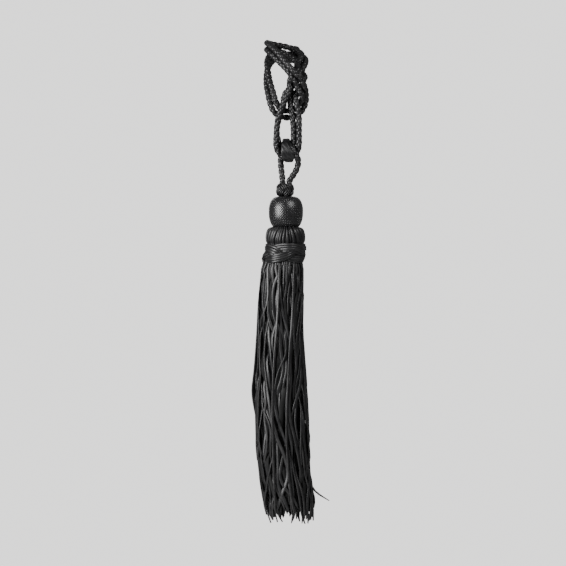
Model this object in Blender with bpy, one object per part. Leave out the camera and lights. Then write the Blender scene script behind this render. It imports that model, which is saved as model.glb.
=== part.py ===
"""Leather tassel tieback: a doubled braided cord tied in an open knot, with a tassel hung on it.

Lengths in the tables are millimetres and MM turns them into metres.  +Z is up and the front
faces -Y.  The origin is the middle of the loop that the tie makes.
"""

import math

import bmesh
import bpy
import numpy as np

MM = 0.001

# Cord: a round braid of flat leather laces
CORD_DIAMETER = 8.8
CORD_SPACING = 9.4
CORD_SIDES = 8
BRAID_RELIEF = 0.35
RING_STEP = 7.8

# Space inside the tie's loop that stays free, as half widths, down to its lowest point
HELD_HALF_WIDTH = 18.5
HELD_HALF_DEPTH = 17.0
HELD_BOTTOM = -75.0

# The eyes at the two ends of the tie
EYE_SPREAD = 24.0
EYE_LENGTH = 42.0

# How the cord is let settle: spacing of its points, passes, and how far it may leave its route
SETTLE_STEP = 3.0
SETTLE_PASSES = 360
CLEARING_PASSES = 60
HOLD = 0.05
SMOOTHING = 0.2

# Flat wrap of leather round the crossing of the tie and the hanging loop
WRAP_THICKNESS, WRAP_STEP = 1.4, 3.3

# Tassel: the heights of its pieces along its own axis, and the air between two pieces
AXIS_Y = -36.0
AIR = 0.3
KNOT_TOP, KNOT_BOTTOM, KNOT_RADIUS, KNOT_X = -171.5, -186.8, 12.8, -0.6
KNOT_SIDES, KNOT_RELIEF = 18, 0.55
NECK_RADIUS, NECK_X = 3.2, 1.2
BEAD_TOP, BEAD_BOTTOM, BEAD_RADIUS, BEAD_X = -188.6, -230.9, 24.3, 0.6
BEAD_SIDES, BEAD_RELIEF = 26, 0.3
HEAD_TOP, HEAD_BOTTOM, HEAD_RADIUS, HEAD_RELIEF = -231.2, -281.0, 28.1, 0.5
SHOULDER_BOTTOM, WAIST_RADIUS = -254.0, 25.8
WAIST_HEIGHTS = (-276.0, -270.0, -262.0, -255.5)

# Woven band round the neck: three leads of laces that swing up and down and pass over and under
BAND_MIDDLE, BAND_SWING, BAND_LEAD_WIDTH = -267.9, 7.4, 12.6
BAND_RADIUS, BAND_WEAVE, BAND_CROWN, BAND_HOLLOW = 28.7, 1.1, 0.9, 2.2
BAND_CLEARANCE, BAND_LIP = 0.45, 0.6
BAND_LEADS, BAND_BIGHTS = 3, 4
BAND_SIDES, BAND_STEPS = 40, 12
FRONT = math.radians(-90)
BAND_PHASE = math.pi / 2 - BAND_BIGHTS / BAND_LEADS * FRONT

# Fringe: laces in a square grid of roots, drawn out round; each root is a share of its cell
ROOTS_ACROSS = 12
ROOT_SHARE = 0.74
LACE_WIDTH, LACE_THICKNESS = 3.9, 1.7
LACE_SEGMENTS = 8
FRINGE_END, END_SPREAD = -637.5, 9.0

# Soft waves of the laces: how far they swing sideways and in depth, and the height of one radian
WAVE_ACROSS, WAVE_DEPTH, WAVE_HEIGHT = 1.8, 1.5, 36.0
STRAIGHT_START = 90.0
LACE_TURN = 0.5

# The two laces that leave the fringe, by column and row: one bows left, one flicks out right
LEFT_STRAY, RIGHT_STRAY = (0, 5), (ROOTS_ACROSS - 1, 5)
BOW_HEIGHT, BOW_LENGTH, BOW_REACH = -446.0, 34.0, 4.5
FLICK_HEIGHT, FLICK_LENGTH, FLICK_REACH, FLICK_RISE = -580.0, 63.0, 22.0, 30.0

# Route of the doubled tie: x, y, z of the pair's middle and the turn of the pair in degrees.
# At no turn the two strands lie side by side round the loop, at 90 one lies on the other.
TIE_ROUTE = [
    # left eye, then round the left edge and down the left side
    (-7.7, 66, 22.4, 0),
    (-9.1, 55, 21, 0),
    (-13.3, 40, 18.2, 0),
    (-19.6, 27, 12.6, 0),
    (-24.5, 13, 4.2, 0),
    (-26, 0, -5.6, 0),
    (-25.5, -10, -16.8, 0),
    (-24.2, -18, -29.4, 0),
    (-21.4, -24, -40.6, 0),
    # left lobe, behind the middle strands, and up the right lobe
    (-19, -27, -51, 0),
    (-15.4, -28, -61, 0),
    (-9.1, -27, -69.3, 0),
    (-0.7, -26, -72, 0),
    (7.7, -26, -72.1, 0),
    (16.1, -27, -68.6, 0),
    (22, -29, -60.2, 0),
    (23.9, -33, -50.4, 0),
    (22.4, -40, -39.2, 20),
    # over everything, up to the left edge
    (17.5, -46, -28, 40),
    (10.5, -51, -18.2, 60),
    (2.1, -49, -8.0, 60),
    (-6.3, -42, 1.9, 45),
    (-15.4, -33, 12.7, 20),
    (-22.6, -20, 20.7, 5),
    (-26, -7, 25, 0),
    # across the back and round the right edge
    (-24.6, 7, 26.4, 0),
    (-17.5, 20, 25.9, 0),
    (-7.7, 27, 25.2, 0),
    (4.9, 28, 22.4, 0),
    (15, 20, 16.8, 0),
    (20.7, 8, 9.1, 0),
    (22.4, -4, 0, 0),
    (20.2, -16, -9.8, 10),
    (15.4, -27, -19.6, 40),
    # left middle strands and the left limb of the lower loop
    (9.8, -35, -30.8, 70),
    (4.2, -38, -42.5, 85),
    (-2.1, -39, -57.4, 90),
    (-7, -38, -70.7, 90),
    (-10.8, -37, -84, 90),
    (-12.3, -36, -99.4, 90),
    (-10.5, -37, -114.1, 60),
    (-4.9, -37.5, -125.3, 20),
    # bottom of the lower loop and its right limb
    (3.5, -37.5, -130.2, 0),
    (11.2, -37.5, -125.3, 10),
    (14.7, -37.5, -114.1, 30),
    (15.1, -37.5, -99.4, 38),
    (14.7, -37.5, -82.6, 30),
    (13, -37, -67.2, 20),
    # right middle strands, up the right side, and the right eye
    (11.6, -36, -53.2, 25),
    (11.9, -33, -40.6, 40),
    (15.4, -28, -29.4, 30),
    (19.6, -21, -19.6, 10),
    (22.4, -10, -9.8, 0),
    (23, 2, -0.7, 0),
    (20.6, 15, 7, 0),
    (15.4, 29, 13.3, 0),
    (9.8, 42, 17.5, 0),
    (7.7, 55, 19.6, 0),
    (7.7, 66, 21, 0),
]

# Route of the loop that the tassel hangs by: x, y, z
HANGER_ROUTE = [
    (-4.1, -36, -170.9),
    (-4.1, -36, -166.5),
    (-5, -35, -157),
    (-6.3, -32, -145.6),
    (-6.6, -28, -134.4),
    (-5.7, -25, -124.6),
    (-3.5, -26, -116.2),
    (1.4, -36, -113.7),
    (6.7, -46, -119.7),
    (12.6, -48, -127.1),
    (17, -44, -135.1),
    (17.2, -39, -145.6),
    (11.6, -37, -157.5),
    (5.6, -36, -166.5),
    (5.6, -36, -170.9),
]

# Route of the wrap's wall: y and z of its middle, then x of its left and right edges
WRAP_ROUTE = [
    # over the top, through the opening of the lower loop
    (-34, -107.4, -4.0, 6.2),
    (-42, -109.5, -4.6, 7.0),
    # down the front
    (-49.5, -114, -5.2, 8.8),
    (-53.2, -121.5, -6.0, 11.0),
    (-53.5, -128, -6.3, 12.2),
    (-50.5, -134.5, -6.3, 12.4),
    # under the bottom of the lower loop
    (-44.5, -138.8, -5.6, 12.4),
    (-37, -140, -3.6, 12.0),
    (-28, -138.6, -1.2, 11.6),
    # up the back
    (-21, -133, -1.2, 11.2),
    (-19.2, -125, -1.2, 11.0),
    (-19.6, -117.5, -1.0, 10.5),
    (-23.2, -110.2, -2.0, 8.0),
    (-28, -107.9, -3.6, 6.4),
]

# Lean and breadth of the tassel: height, middle of its width, half its width
OUTLINE = [
    (-231.0, 0.0, 28.1),
    (-254.0, 0.0, 28.4),
    (-262.0, 0.3, 28.8),
    (-270.0, -1.8, 29.2),
    (-276.0, -3.4, 29.4),
    (-282.0, -3.8, 30.1),
    (-333.0, -6.5, 32.1),
    (-384.0, -7.9, 33.5),
    (-417.0, -7.2, 35.0),
    (-473.0, -5.7, 38.0),
    (-529.0, -3.6, 39.0),
    (-578.0, -0.4, 37.5),
    (-613.0, 4.1, 36.6),
    (-646.0, 7.5, 34.3),
]
DEPTH_OF_WIDTH = 0.85

# Profiles as radius and height above the piece's lowest point, as shares of its radius and height
BEAD_PROFILE = [
    (0.69, 0.0), (0.82, 0.06), (0.92, 0.175), (0.985, 0.33), (1.0, 0.5),
    (0.985, 0.67), (0.89, 0.84), (0.72, 0.955), (0.485, 1.0),
]
KNOT_PROFILE = [
    (0.55, 0.0), (0.84, 0.10), (0.98, 0.30), (1.0, 0.52), (0.94, 0.75), (0.80, 0.93), (0.60, 1.0),
]
HEAD_PROFILE = [
    (0.60, 0.0), (0.86, 0.07), (0.97, 0.25), (1.0, 0.55), (0.98, 0.85), (0.92, 1.0),
]

LEATHER = {"colour": (0.018, 0.018, 0.02), "roughness": 0.42}


def clear_scene():
    """Remove every object that the file starts with."""
    for thing in list(bpy.data.objects):
        bpy.data.objects.remove(thing, do_unlink=True)


def leather_material(name, roughness=LEATHER["roughness"]):
    """Give a plain black leather material."""
    material = bpy.data.materials.new(name)
    material.use_nodes = True
    shader = material.node_tree.nodes["Principled BSDF"]
    shader.inputs["Base Color"].default_value = (*LEATHER["colour"], 1.0)
    shader.inputs["Roughness"].default_value = roughness
    shader.inputs["Metallic"].default_value = 0.0
    return material


def add_object(name, shape, roughness=LEATHER["roughness"]):
    """Turn a finished bmesh in millimetres into an object in metres with outward faces."""
    bmesh.ops.recalc_face_normals(shape, faces=shape.faces)
    bmesh.ops.scale(shape, vec=(MM, MM, MM), verts=shape.verts)
    mesh = bpy.data.meshes.new(name)
    shape.to_mesh(mesh)
    shape.free()
    thing = bpy.data.objects.new(name, mesh)
    thing.data.materials.append(leather_material(name + "_leather", roughness))
    bpy.context.scene.collection.objects.link(thing)
    return thing


# Lines in space


def unit(vectors):
    """Scale each row to length one."""
    return vectors / np.maximum(np.linalg.norm(vectors, axis=1), 1e-9)[:, None]


def smooth_line(points, steps=24):
    """Pass a smooth curve through the points."""
    points = np.asarray(points, float)
    last = len(points) - 1
    parts = []
    for i in range(last):
        before, start, end, after = points[[max(i - 1, 0), i, i + 1, min(i + 2, last)]]
        t = np.linspace(0.0, 1.0, steps, endpoint=False)[:, None]
        parts.append(0.5 * (
            2 * start + (end - before) * t + (2 * before - 5 * start + 4 * end - after) * t**2
            + (3 * start - before - 3 * end + after) * t**3
        ))
    return np.concatenate(parts + [points[-1:]])


def closed_line(points, steps=8):
    """Pass a smooth curve through the points and back to the first."""
    points = np.asarray(points, float)
    line = smooth_line(np.vstack([points[-2:], points, points[:3]]), steps)
    return line[2 * steps:(2 + len(points)) * steps]


def evenly(line, step, closed=False, even_count=False):
    """Place points a step apart along a line."""
    if closed:
        line = np.vstack([line, line[:1]])
    along = np.concatenate([[0.0], np.cumsum(np.linalg.norm(np.diff(line, axis=0), axis=1))])
    count = int(round(along[-1] / step))
    if even_count:
        count += count % 2
    at = np.linspace(0.0, along[-1], count + 1)
    if closed:
        at = at[:-1]
    return np.stack([np.interp(at, along, line[:, k]) for k in range(line.shape[1])], axis=1)


def ease(x):
    """Rise from 0 to 1 without a corner."""
    x = np.clip(x, 0.0, 1.0)
    return x * x * (3 - 2 * x)


# The two cords


def outward_from_loop(places, along):
    """Give the direction out of the loop, which is straight to the front below the knot."""
    round_loop = unit(np.stack([places[:, 0], places[:, 1], 0 * places[:, 0]], axis=1))
    below = np.clip((-places[:, 2] - 60.0) / 30.0, 0.0, 1.0)[:, None]
    outward = round_loop * (1 - below) + np.array([0.0, -1.0, 0.0]) * below
    return unit(outward - (outward * along).sum(axis=1)[:, None] * along)


def end_turn(first, second, along, count=7):
    """Carry one strand round into the other in a half circle."""
    middle, half = (first + second) / 2, (first - second) / 2
    angles = np.linspace(0.0, math.pi, count + 2)[1:-1][:, None]
    return middle + half * np.cos(angles) + along * np.linalg.norm(half) * np.sin(angles)


def doubled_tie():
    """Draw the endless cord that runs along the route as two strands and turns at each end."""
    route = evenly(smooth_line(TIE_ROUTE), SETTLE_STEP)
    places, turn = route[:, :3], np.radians(route[:, 3])[:, None]
    along = unit(np.gradient(places, axis=0))
    outward = outward_from_loop(places, along)
    sideways = np.cross(along, outward) * np.cos(turn) + outward * np.sin(turn)
    travelled = np.arange(len(places)) * SETTLE_STEP
    near_end = ease(1 - travelled / EYE_LENGTH) + ease(1 - (travelled[-1] - travelled) / EYE_LENGTH)
    spread = CORD_SPACING + (EYE_SPREAD - CORD_SPACING) * near_end
    offset = sideways * spread[:, None] / 2
    first, second = places + offset, places - offset
    far_turn = end_turn(first[-1], second[-1], along[-1])
    near_turn = end_turn(second[0], first[0], -along[0])
    whole = np.vstack([first, far_turn, second[::-1], near_turn])
    return evenly(whole, SETTLE_STEP, closed=True)


def neighbours(tie_count, count):
    """Give each point's previous and next point; the tie is closed and the hanger is open."""
    order = np.arange(count)
    before, after = order - 1, order + 1
    before[0], after[tie_count - 1] = tie_count - 1, 0
    before[tie_count], after[-1] = tie_count, count - 1
    return before, after


def pairs_to_part(tie_count, count):
    """Mark the pairs of points that are far apart along the cords, so they mustn't touch."""
    order = np.arange(count)
    apart = np.abs(order[:, None] - order[None])
    in_tie = order < tie_count
    both_in_tie = in_tie[:, None] & in_tie[None]
    apart = np.where(both_in_tie, np.minimum(apart, tie_count - apart), apart)
    same_cord = in_tie[:, None] == in_tie[None]
    near_along = same_cord & (apart * SETTLE_STEP < 1.9 * CORD_DIAMETER)
    return np.triu(~near_along, k=1)


def push_apart(points, apart):
    """Give the move that parts the points which are closer than one cord beside another."""
    gaps = ((points[:, None] - points[None]) ** 2).sum(axis=-1)
    i, j = np.nonzero((gaps < CORD_SPACING**2) & apart)
    between = points[i] - points[j]
    distance = np.linalg.norm(between, axis=1) + 1e-9
    push = (CORD_SPACING - distance)[:, None] * between / distance[:, None] * 0.3
    move, count = np.zeros_like(points), np.zeros(len(points))
    np.add.at(move, i, push)
    np.add.at(move, j, -push)
    np.add.at(count, i, 1)
    np.add.at(count, j, 1)
    return move / np.sqrt(np.maximum(count, 1))[:, None]


def keep_loop_open(points, tie_count):
    """Move the tie's points out of the space inside the loop."""
    reach = CORD_DIAMETER / 2
    share = np.hypot(
        points[:, 0] / (HELD_HALF_WIDTH + reach), points[:, 1] / (HELD_HALF_DEPTH + reach)
    )
    inside = (share < 1) & (points[:, 2] > HELD_BOTTOM) & (np.arange(len(points)) < tie_count)
    points[inside, :2] /= share[inside, None]


def settled_cords():
    """Let both cords settle near their routes until they lie clear of each other."""
    tie = doubled_tie()
    hanger = evenly(smooth_line(HANGER_ROUTE), SETTLE_STEP)
    tie_count, count = len(tie), len(tie) + len(hanger)
    start = np.vstack([tie, hanger])
    points = start.copy()
    before, after = neighbours(tie_count, count)
    apart = pairs_to_part(tie_count, count)
    free = np.ones((count, 1))
    free[tie_count:tie_count + 3] = free[-3:] = 0.0
    for number in range(SETTLE_PASSES):
        middle = (points[before] + points[after]) / 2
        wider = (points[before[before]] + points[after[after]]) / 2
        curve = (4 * middle - wider) / 3
        if number < SETTLE_PASSES - CLEARING_PASSES:
            move = SMOOTHING * (curve - points) + 0.02 * (middle - points) + HOLD * (start - points)
        else:
            move = 0.1 * (curve - points)
        points = points + free * move
        points = points + free * push_apart(points, apart)
        keep_loop_open(points, tie_count)
    return points[:tie_count], points[tie_count:]


def level_frames(line, closed):
    """Give two cross directions at each point that turn as little as they can."""
    if closed:
        along = unit(np.roll(line, -1, axis=0) - np.roll(line, 1, axis=0))
    else:
        along = unit(np.gradient(line, axis=0))
    start = np.array([0.0, 1.0, 0.0]) if abs(along[0, 1]) < 0.8 else np.array([1.0, 0.0, 0.0])
    across = [start - start.dot(along[0]) * along[0]]
    for direction in np.vstack([along[1:], along[:1]]) if closed else along[1:]:
        last = across[-1] / np.linalg.norm(across[-1])
        across.append(last - last.dot(direction) * direction)
    across = unit(np.array(across))
    turn = np.zeros(len(line))
    if closed:
        other = np.cross(along[0], across[0])
        left_over = math.atan2(across[-1].dot(other), across[-1].dot(across[0]))
        turn = -left_over * np.arange(len(line)) / len(line)
    across = across[:len(line)]
    other = np.cross(along, across)
    first = across * np.cos(turn)[:, None] + other * np.sin(turn)[:, None]
    return first, np.cross(along, first)


def braided_tube(name, line, closed):
    """Build a cord whose sides stand proud and sink in turn, as the crowns of a round braid do."""
    line = evenly(line, RING_STEP, closed, even_count=closed)
    first, second = level_frames(line, closed)
    shape = bmesh.new()
    rings = []
    for i, centre in enumerate(line):
        ring = []
        for side in range(CORD_SIDES):
            angle = 2 * math.pi * side / CORD_SIDES
            radius = CORD_DIAMETER / 2 - (2 * BRAID_RELIEF if (i + side) % 2 else 0.0)
            ring.append(shape.verts.new(
                centre + radius * (math.cos(angle) * first[i] + math.sin(angle) * second[i])
            ))
        rings.append(ring)
    if not closed:
        shape.faces.new(rings[0])
        shape.faces.new(rings[-1][::-1])
    join_rings(shape, rings, closed)
    return add_object(name, shape)


# Turned and wrapped pieces


def join_rings(shape, rings, closed=False):
    """Put four-sided faces between each ring and the next."""
    for lower, upper in zip(rings, rings[1:] + rings[:1] if closed else rings[1:]):
        for k in range(len(lower)):
            n = (k + 1) % len(lower)
            shape.faces.new((lower[k], lower[n], upper[n], upper[k]))


def level_ring(shape, middle, height, radii):
    """Lay a ring of points at one height, with a radius for each point."""
    ring = []
    for k, radius in enumerate(radii):
        turn = 2 * math.pi * k / len(radii)
        place = (middle + radius * math.cos(turn), AXIS_Y + radius * math.sin(turn), height)
        ring.append(shape.verts.new(place))
    return ring


def turned_rings(shape, profile, middle, sides, relief):
    """Turn a profile of radius and height round an axis, with points raised and sunk in turn."""
    rings = []
    for i, (radius, height) in enumerate(profile):
        depth = relief if 0 < i < len(profile) - 1 else 0.0
        radii = [radius + (depth if (i + k) % 2 else -depth) for k in range(sides)]
        rings.append(level_ring(shape, middle, height, radii))
    join_rings(shape, rings)
    return rings


def scaled_profile(profile, radius, bottom, top):
    """Turn shares of a radius and a height into lengths."""
    return [(share * radius, bottom + up * (top - bottom)) for share, up in profile]


def build_wrap():
    """Build the flat strap that is wrapped round the crossing of the two cords."""
    shape = bmesh.new()
    line = evenly(closed_line(WRAP_ROUTE), WRAP_STEP, closed=True)
    along = unit(np.roll(line, -1, axis=0)[:, :2] - np.roll(line, 1, axis=0)[:, :2])
    rings = []
    for (y, z, left, right), (along_y, along_z) in zip(line, along):
        out_y, out_z = along_z * WRAP_THICKNESS / 2, -along_y * WRAP_THICKNESS / 2
        corners = [(left, y + out_y, z + out_z), (right, y + out_y, z + out_z),
                   (right, y - out_y, z - out_z), (left, y - out_y, z - out_z)]
        rings.append([shape.verts.new(corner) for corner in corners])
    join_rings(shape, rings, closed=True)
    return add_object("wrap", shape)


def build_bead():
    """Build the bead, covered in plaited leather."""
    shape = bmesh.new()
    profile = scaled_profile(BEAD_PROFILE, BEAD_RADIUS, BEAD_BOTTOM, BEAD_TOP)
    rings = turned_rings(shape, profile, BEAD_X, BEAD_SIDES, BEAD_RELIEF)
    shape.faces.new(rings[0][::-1])
    shape.faces.new(rings[-1])
    return add_object("bead", shape, roughness=0.3)


def build_button_knot():
    """Build the knot above the bead, with the short neck of cord below it."""
    shape = bmesh.new()
    profile = scaled_profile(KNOT_PROFILE, KNOT_RADIUS, KNOT_BOTTOM, KNOT_TOP)
    rings = turned_rings(shape, profile, KNOT_X, KNOT_SIDES, KNOT_RELIEF)
    shape.faces.new(rings[-1])
    radii = [NECK_RADIUS] * KNOT_SIDES
    foot = level_ring(shape, NECK_X, BEAD_TOP + AIR, radii)
    neck = level_ring(shape, NECK_X, KNOT_BOTTOM, radii)
    shape.faces.new(foot[::-1])
    join_rings(shape, [foot, neck, rings[0]])
    return add_object("button_knot", shape)


def woven_radius(turn, height):
    """Give the outer radius of the woven band: the uppermost of its three leads at that place."""
    highest = BAND_RADIUS - BAND_HOLLOW
    for lead in range(BAND_LEADS):
        phase = (BAND_BIGHTS * turn + 2 * math.pi * lead) / BAND_LEADS + BAND_PHASE
        off_middle = (height - BAND_MIDDLE - BAND_SWING * math.sin(phase)) / (BAND_LEAD_WIDTH / 2)
        if abs(off_middle) < 1:
            crown = BAND_CROWN * math.sqrt(1 - off_middle**2)
            highest = max(highest, BAND_RADIUS + BAND_WEAVE * math.sin(2 * phase) + crown)
    return highest


def build_woven_band():
    """Build the band woven round the neck of the tassel: three leads that pass over and under."""
    shape = bmesh.new()
    bottom = BAND_MIDDLE - BAND_SWING - BAND_LEAD_WIDTH / 2
    top = BAND_MIDDLE + BAND_SWING + BAND_LEAD_WIDTH / 2
    turns = [2 * math.pi * k / BAND_SIDES for k in range(BAND_SIDES)]
    inner = [WAIST_RADIUS + BAND_CLEARANCE] * BAND_SIDES
    lip = [WAIST_RADIUS + BAND_CLEARANCE + BAND_LIP] * BAND_SIDES
    levels = [(bottom - BAND_LIP / 2, lip)]
    for height in np.linspace(bottom, top, BAND_STEPS + 1)[1:]:
        levels.append((height, [woven_radius(turn, height) for turn in turns]))
    levels.append((top + BAND_LIP / 2, lip))
    for height in (top - BAND_LIP / 2, *WAIST_HEIGHTS[::-1], bottom + BAND_LIP / 2):
        levels.append((height, inner))
    rings = [level_ring(shape, lean_at(height), height, radii) for height, radii in levels]
    join_rings(shape, rings, closed=True)
    return add_object("woven_band", shape)


# Head and fringe


def outline_at(height):
    """Give the middle and the half width of the tassel at a height."""
    heights, middles, halves = (np.array(column) for column in zip(*OUTLINE))
    order = np.argsort(heights)
    middle = np.interp(height, heights[order], middles[order])
    return float(middle), float(np.interp(height, heights[order], halves[order]))


def lean_at(height):
    """Give the middle of the tassel at a height."""
    return outline_at(height)[0]


def round_from_square(a, b):
    """Move a point of a square to its place in a disc."""
    return a * math.sqrt(1 - b * b / 2), b * math.sqrt(1 - a * a / 2)


def rim_of_square(count):
    """Walk once round the rim of a square grid, anticlockwise from its lower left corner."""
    lower = [(i, 0) for i in range(count)]
    right = [(count, j) for j in range(count)]
    upper = [(count - i, count) for i in range(count)]
    left = [(0, count - j) for j in range(count)]
    return lower + right + upper + left


def root_grid(shape):
    """Lay the grid of points that the laces' roots stand in, on the underside of the head."""
    middle = lean_at(HEAD_BOTTOM)
    grid = {}
    for i in range(ROOTS_ACROSS + 1):
        for j in range(ROOTS_ACROSS + 1):
            u, v = round_from_square(2 * i / ROOTS_ACROSS - 1, 2 * j / ROOTS_ACROSS - 1)
            place = (middle + WAIST_RADIUS * u, AXIS_Y + WAIST_RADIUS * v, HEAD_BOTTOM)
            grid[i, j] = shape.verts.new(place)
    return grid


def head_rings(shape, grid):
    """Build the head from the rim of the roots up: the waist, then the shoulders of bent laces."""
    rim = rim_of_square(ROOTS_ACROSS)
    rings = [[grid[place] for place in rim]]
    profile = [(WAIST_RADIUS, height) for height in WAIST_HEIGHTS]
    profile += scaled_profile(HEAD_PROFILE[::-1], HEAD_RADIUS, HEAD_TOP, SHOULDER_BOTTOM)
    for number, (radius, height) in enumerate(profile):
        ring = []
        rib = HEAD_RELIEF if len(WAIST_HEIGHTS) < number < len(profile) - 1 else 0.0
        for k, (i, j) in enumerate(rim):
            u, v = round_from_square(2 * i / ROOTS_ACROSS - 1, 2 * j / ROOTS_ACROSS - 1)
            size = math.hypot(u, v)
            r = radius + (rib if k % 2 else -rib)
            ring.append(shape.verts.new(
                (lean_at(height) + r * u / size, AXIS_Y + r * v / size, height)
            ))
        rings.append(ring)
    join_rings(shape, rings)
    shape.faces.new(rings[-1])


def lace_heights(number, column, row):
    """Give the heights of one lace's cross sections, closer together where it bends."""
    shares = np.linspace(0.0, 1.0, LACE_SEGMENTS + 1)[1:]
    shares = shares ** (0.45 if (column, row) == RIGHT_STRAY else 1.25)
    end = FRINGE_END + END_SPREAD * math.sin(number * 2.4) * math.cos(number * 0.9)
    return HEAD_BOTTOM + shares * (end - HEAD_BOTTOM)


def lace_centre(u, v, height, number):
    """Give the middle of a lace at a height: the tassel's outline, then the laces' soft waves."""
    middle, half = outline_at(height)
    fall = ease((HEAD_BOTTOM - height) / STRAIGHT_START)
    outermost = 1 - 1 / ROOTS_ACROSS
    reach = (half - LACE_WIDTH / 2) / outermost
    phase = height / WAVE_HEIGHT + 2.1 * u + 1.4 * v
    x = middle + reach * u + fall * WAVE_ACROSS * math.sin(phase)
    y = AXIS_Y + DEPTH_OF_WIDTH * reach * v + fall * WAVE_DEPTH * math.cos(phase * 0.9 + 1.0)
    x += fall * 0.3 * math.sin(7.3 * number + height / 25.0)
    return np.array([x, y, height])


def stray_offset(column, row, height):
    """Move the two laces that leave the fringe: one bows out at the left, one flicks out right."""
    if (column, row) == LEFT_STRAY:
        off_bow = (height - BOW_HEIGHT) / BOW_LENGTH
        return np.array([-BOW_REACH * math.exp(-off_bow**2), 0.0, 0.0])
    if (column, row) == RIGHT_STRAY:
        below = max(0.0, (FLICK_HEIGHT - height) / FLICK_LENGTH)
        return np.array([FLICK_REACH * below**1.5, -3.0 * below, FLICK_RISE * below**2])
    return np.zeros(3)


def build_tassel():
    """Build the head and its fringe in one piece: every lace grows from its own root."""
    shape = bmesh.new()
    grid = root_grid(shape)
    head_rings(shape, grid)
    number = 0
    for i in range(ROOTS_ACROSS):
        for j in range(ROOTS_ACROSS):
            corners = [grid[i, j], grid[i, j + 1], grid[i + 1, j + 1], grid[i + 1, j]]
            grow_lace(shape, corners, i, j, number)
            number += 1
    return add_object("tassel", shape)


def grow_lace(shape, corners, column, row, number):
    """Draw one lace down from the middle of its cell of the grid."""
    places = np.array([corner.co for corner in corners])
    centre = places.mean(axis=0)
    root = [shape.verts.new(centre + ROOT_SHARE * (place - centre)) for place in places]
    join_rings(shape, [list(corners), root])
    u, v = round_from_square(
        (2 * column + 1) / ROOTS_ACROSS - 1, (2 * row + 1) / ROOTS_ACROSS - 1
    )
    side = places[2] - places[1]
    first_turn = math.atan2(side[1], side[0])
    rings = [root]
    for level, height in enumerate(lace_heights(number, column, row)):
        middle = lace_centre(u, v, height, number) + stray_offset(column, row, height)
        turn = first_turn + LACE_TURN * math.sin(number * 1.7 + level * 0.55) * min(1.0, level / 2)
        across = np.array([math.cos(turn), math.sin(turn), 0.0]) * LACE_WIDTH / 2
        through = np.array([-math.sin(turn), math.cos(turn), 0.0]) * LACE_THICKNESS / 2
        ring = [middle - across - through, middle - across + through,
                middle + across + through, middle + across - through]
        rings.append([shape.verts.new(place) for place in ring])
    join_rings(shape, rings)
    shape.faces.new(rings[-1])


clear_scene()
tie_line, hanger_line = settled_cords()
braided_tube("tie_cord", tie_line, closed=True)
braided_tube("hanging_loop", hanger_line, closed=False)
build_wrap()
build_button_knot()
build_bead()
build_tassel()
build_woven_band()
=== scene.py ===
# %% [markdown]
# # A leather tassel tieback
#
# A braided leather cord is laid double and tied in an open knot.  Under it hang a short loop of
# the same cord, a button knot, a bead covered in plaited leather, and a tassel with a woven band.
#
# The solids are loaded first and stay where they are, and each step replaces one of them with real
# laces.  Lengths are in metres, +Z is up and the front faces -Y.

# %% Load the solids
import math
from functools import partial

import bmesh
import bpy
import numpy as np
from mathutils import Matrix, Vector


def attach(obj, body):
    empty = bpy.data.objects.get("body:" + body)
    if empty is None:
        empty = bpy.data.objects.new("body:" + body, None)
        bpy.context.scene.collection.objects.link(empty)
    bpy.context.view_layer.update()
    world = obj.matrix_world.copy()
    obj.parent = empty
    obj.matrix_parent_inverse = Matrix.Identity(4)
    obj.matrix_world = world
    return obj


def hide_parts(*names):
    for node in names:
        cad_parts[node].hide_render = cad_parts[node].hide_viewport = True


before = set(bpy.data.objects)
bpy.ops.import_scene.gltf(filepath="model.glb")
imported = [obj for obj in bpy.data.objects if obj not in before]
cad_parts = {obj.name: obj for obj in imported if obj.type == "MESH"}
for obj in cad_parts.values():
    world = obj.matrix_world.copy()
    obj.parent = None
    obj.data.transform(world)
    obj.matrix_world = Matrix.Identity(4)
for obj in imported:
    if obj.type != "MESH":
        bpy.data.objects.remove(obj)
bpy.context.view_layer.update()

print("solids:", sorted(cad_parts))

# %% [markdown]
# ## Camera
#
# A long lens flattens an object, as a picture taken from far away does.  It looks straight at the
# tassel, and its length follows from the height that the picture takes in at that distance.

# %% Camera
SENSOR = 36.0
CAMERA_DISTANCE = 3.0
PICTURE_HEIGHT = 0.7924
PICTURE_MIDDLE = Vector((-0.0035, -0.036, -0.3094))

scene = bpy.context.scene
lens = bpy.data.cameras.new("camera")
lens.sensor_width = SENSOR
lens.lens = SENSOR * CAMERA_DISTANCE / PICTURE_HEIGHT


def new_object(name, data):
    """Put a new object into the scene."""
    thing = bpy.data.objects.new(name, data)
    scene.collection.objects.link(thing)
    return thing


camera = new_object("camera", lens)
camera.location = PICTURE_MIDDLE + Vector((0.0, -CAMERA_DISTANCE, 0.0))
camera.rotation_euler = (math.pi / 2, 0.0, 0.0)
scene.camera = camera
print("lens:", round(lens.lens, 1), "mm")

# %% [markdown]
# ## Lines in space
#
# A lace or a cord is drawn along a smooth curve through a few given points.  Curve objects
# could do this too, but a braid needs the line's own cross directions, so numpy works them out.


# %% Lines: smooth, even, with cross directions
def unit(vectors):
    """Scale each row to length one."""
    return vectors / np.maximum(np.linalg.norm(vectors, axis=-1, keepdims=True), 1e-12)


def smooth_line(points, steps=24):
    """Pass a smooth curve through the points."""
    points = np.asarray(points, float)
    last = len(points) - 1
    parts = []
    for i in range(last):
        before, start, end, after = points[[max(i - 1, 0), i, i + 1, min(i + 2, last)]]
        t = np.linspace(0.0, 1.0, steps, endpoint=False)[:, None]
        parts.append(0.5 * (
            2 * start + (end - before) * t + (2 * before - 5 * start + 4 * end - after) * t**2
            + (3 * start - before - 3 * end + after) * t**3
        ))
    return np.concatenate(parts + [points[-1:]])


def travelled(line):
    """Give the distance from the line's start to each point."""
    return np.concatenate([[0.0], np.cumsum(np.linalg.norm(np.diff(line, axis=0), axis=1))])


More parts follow.
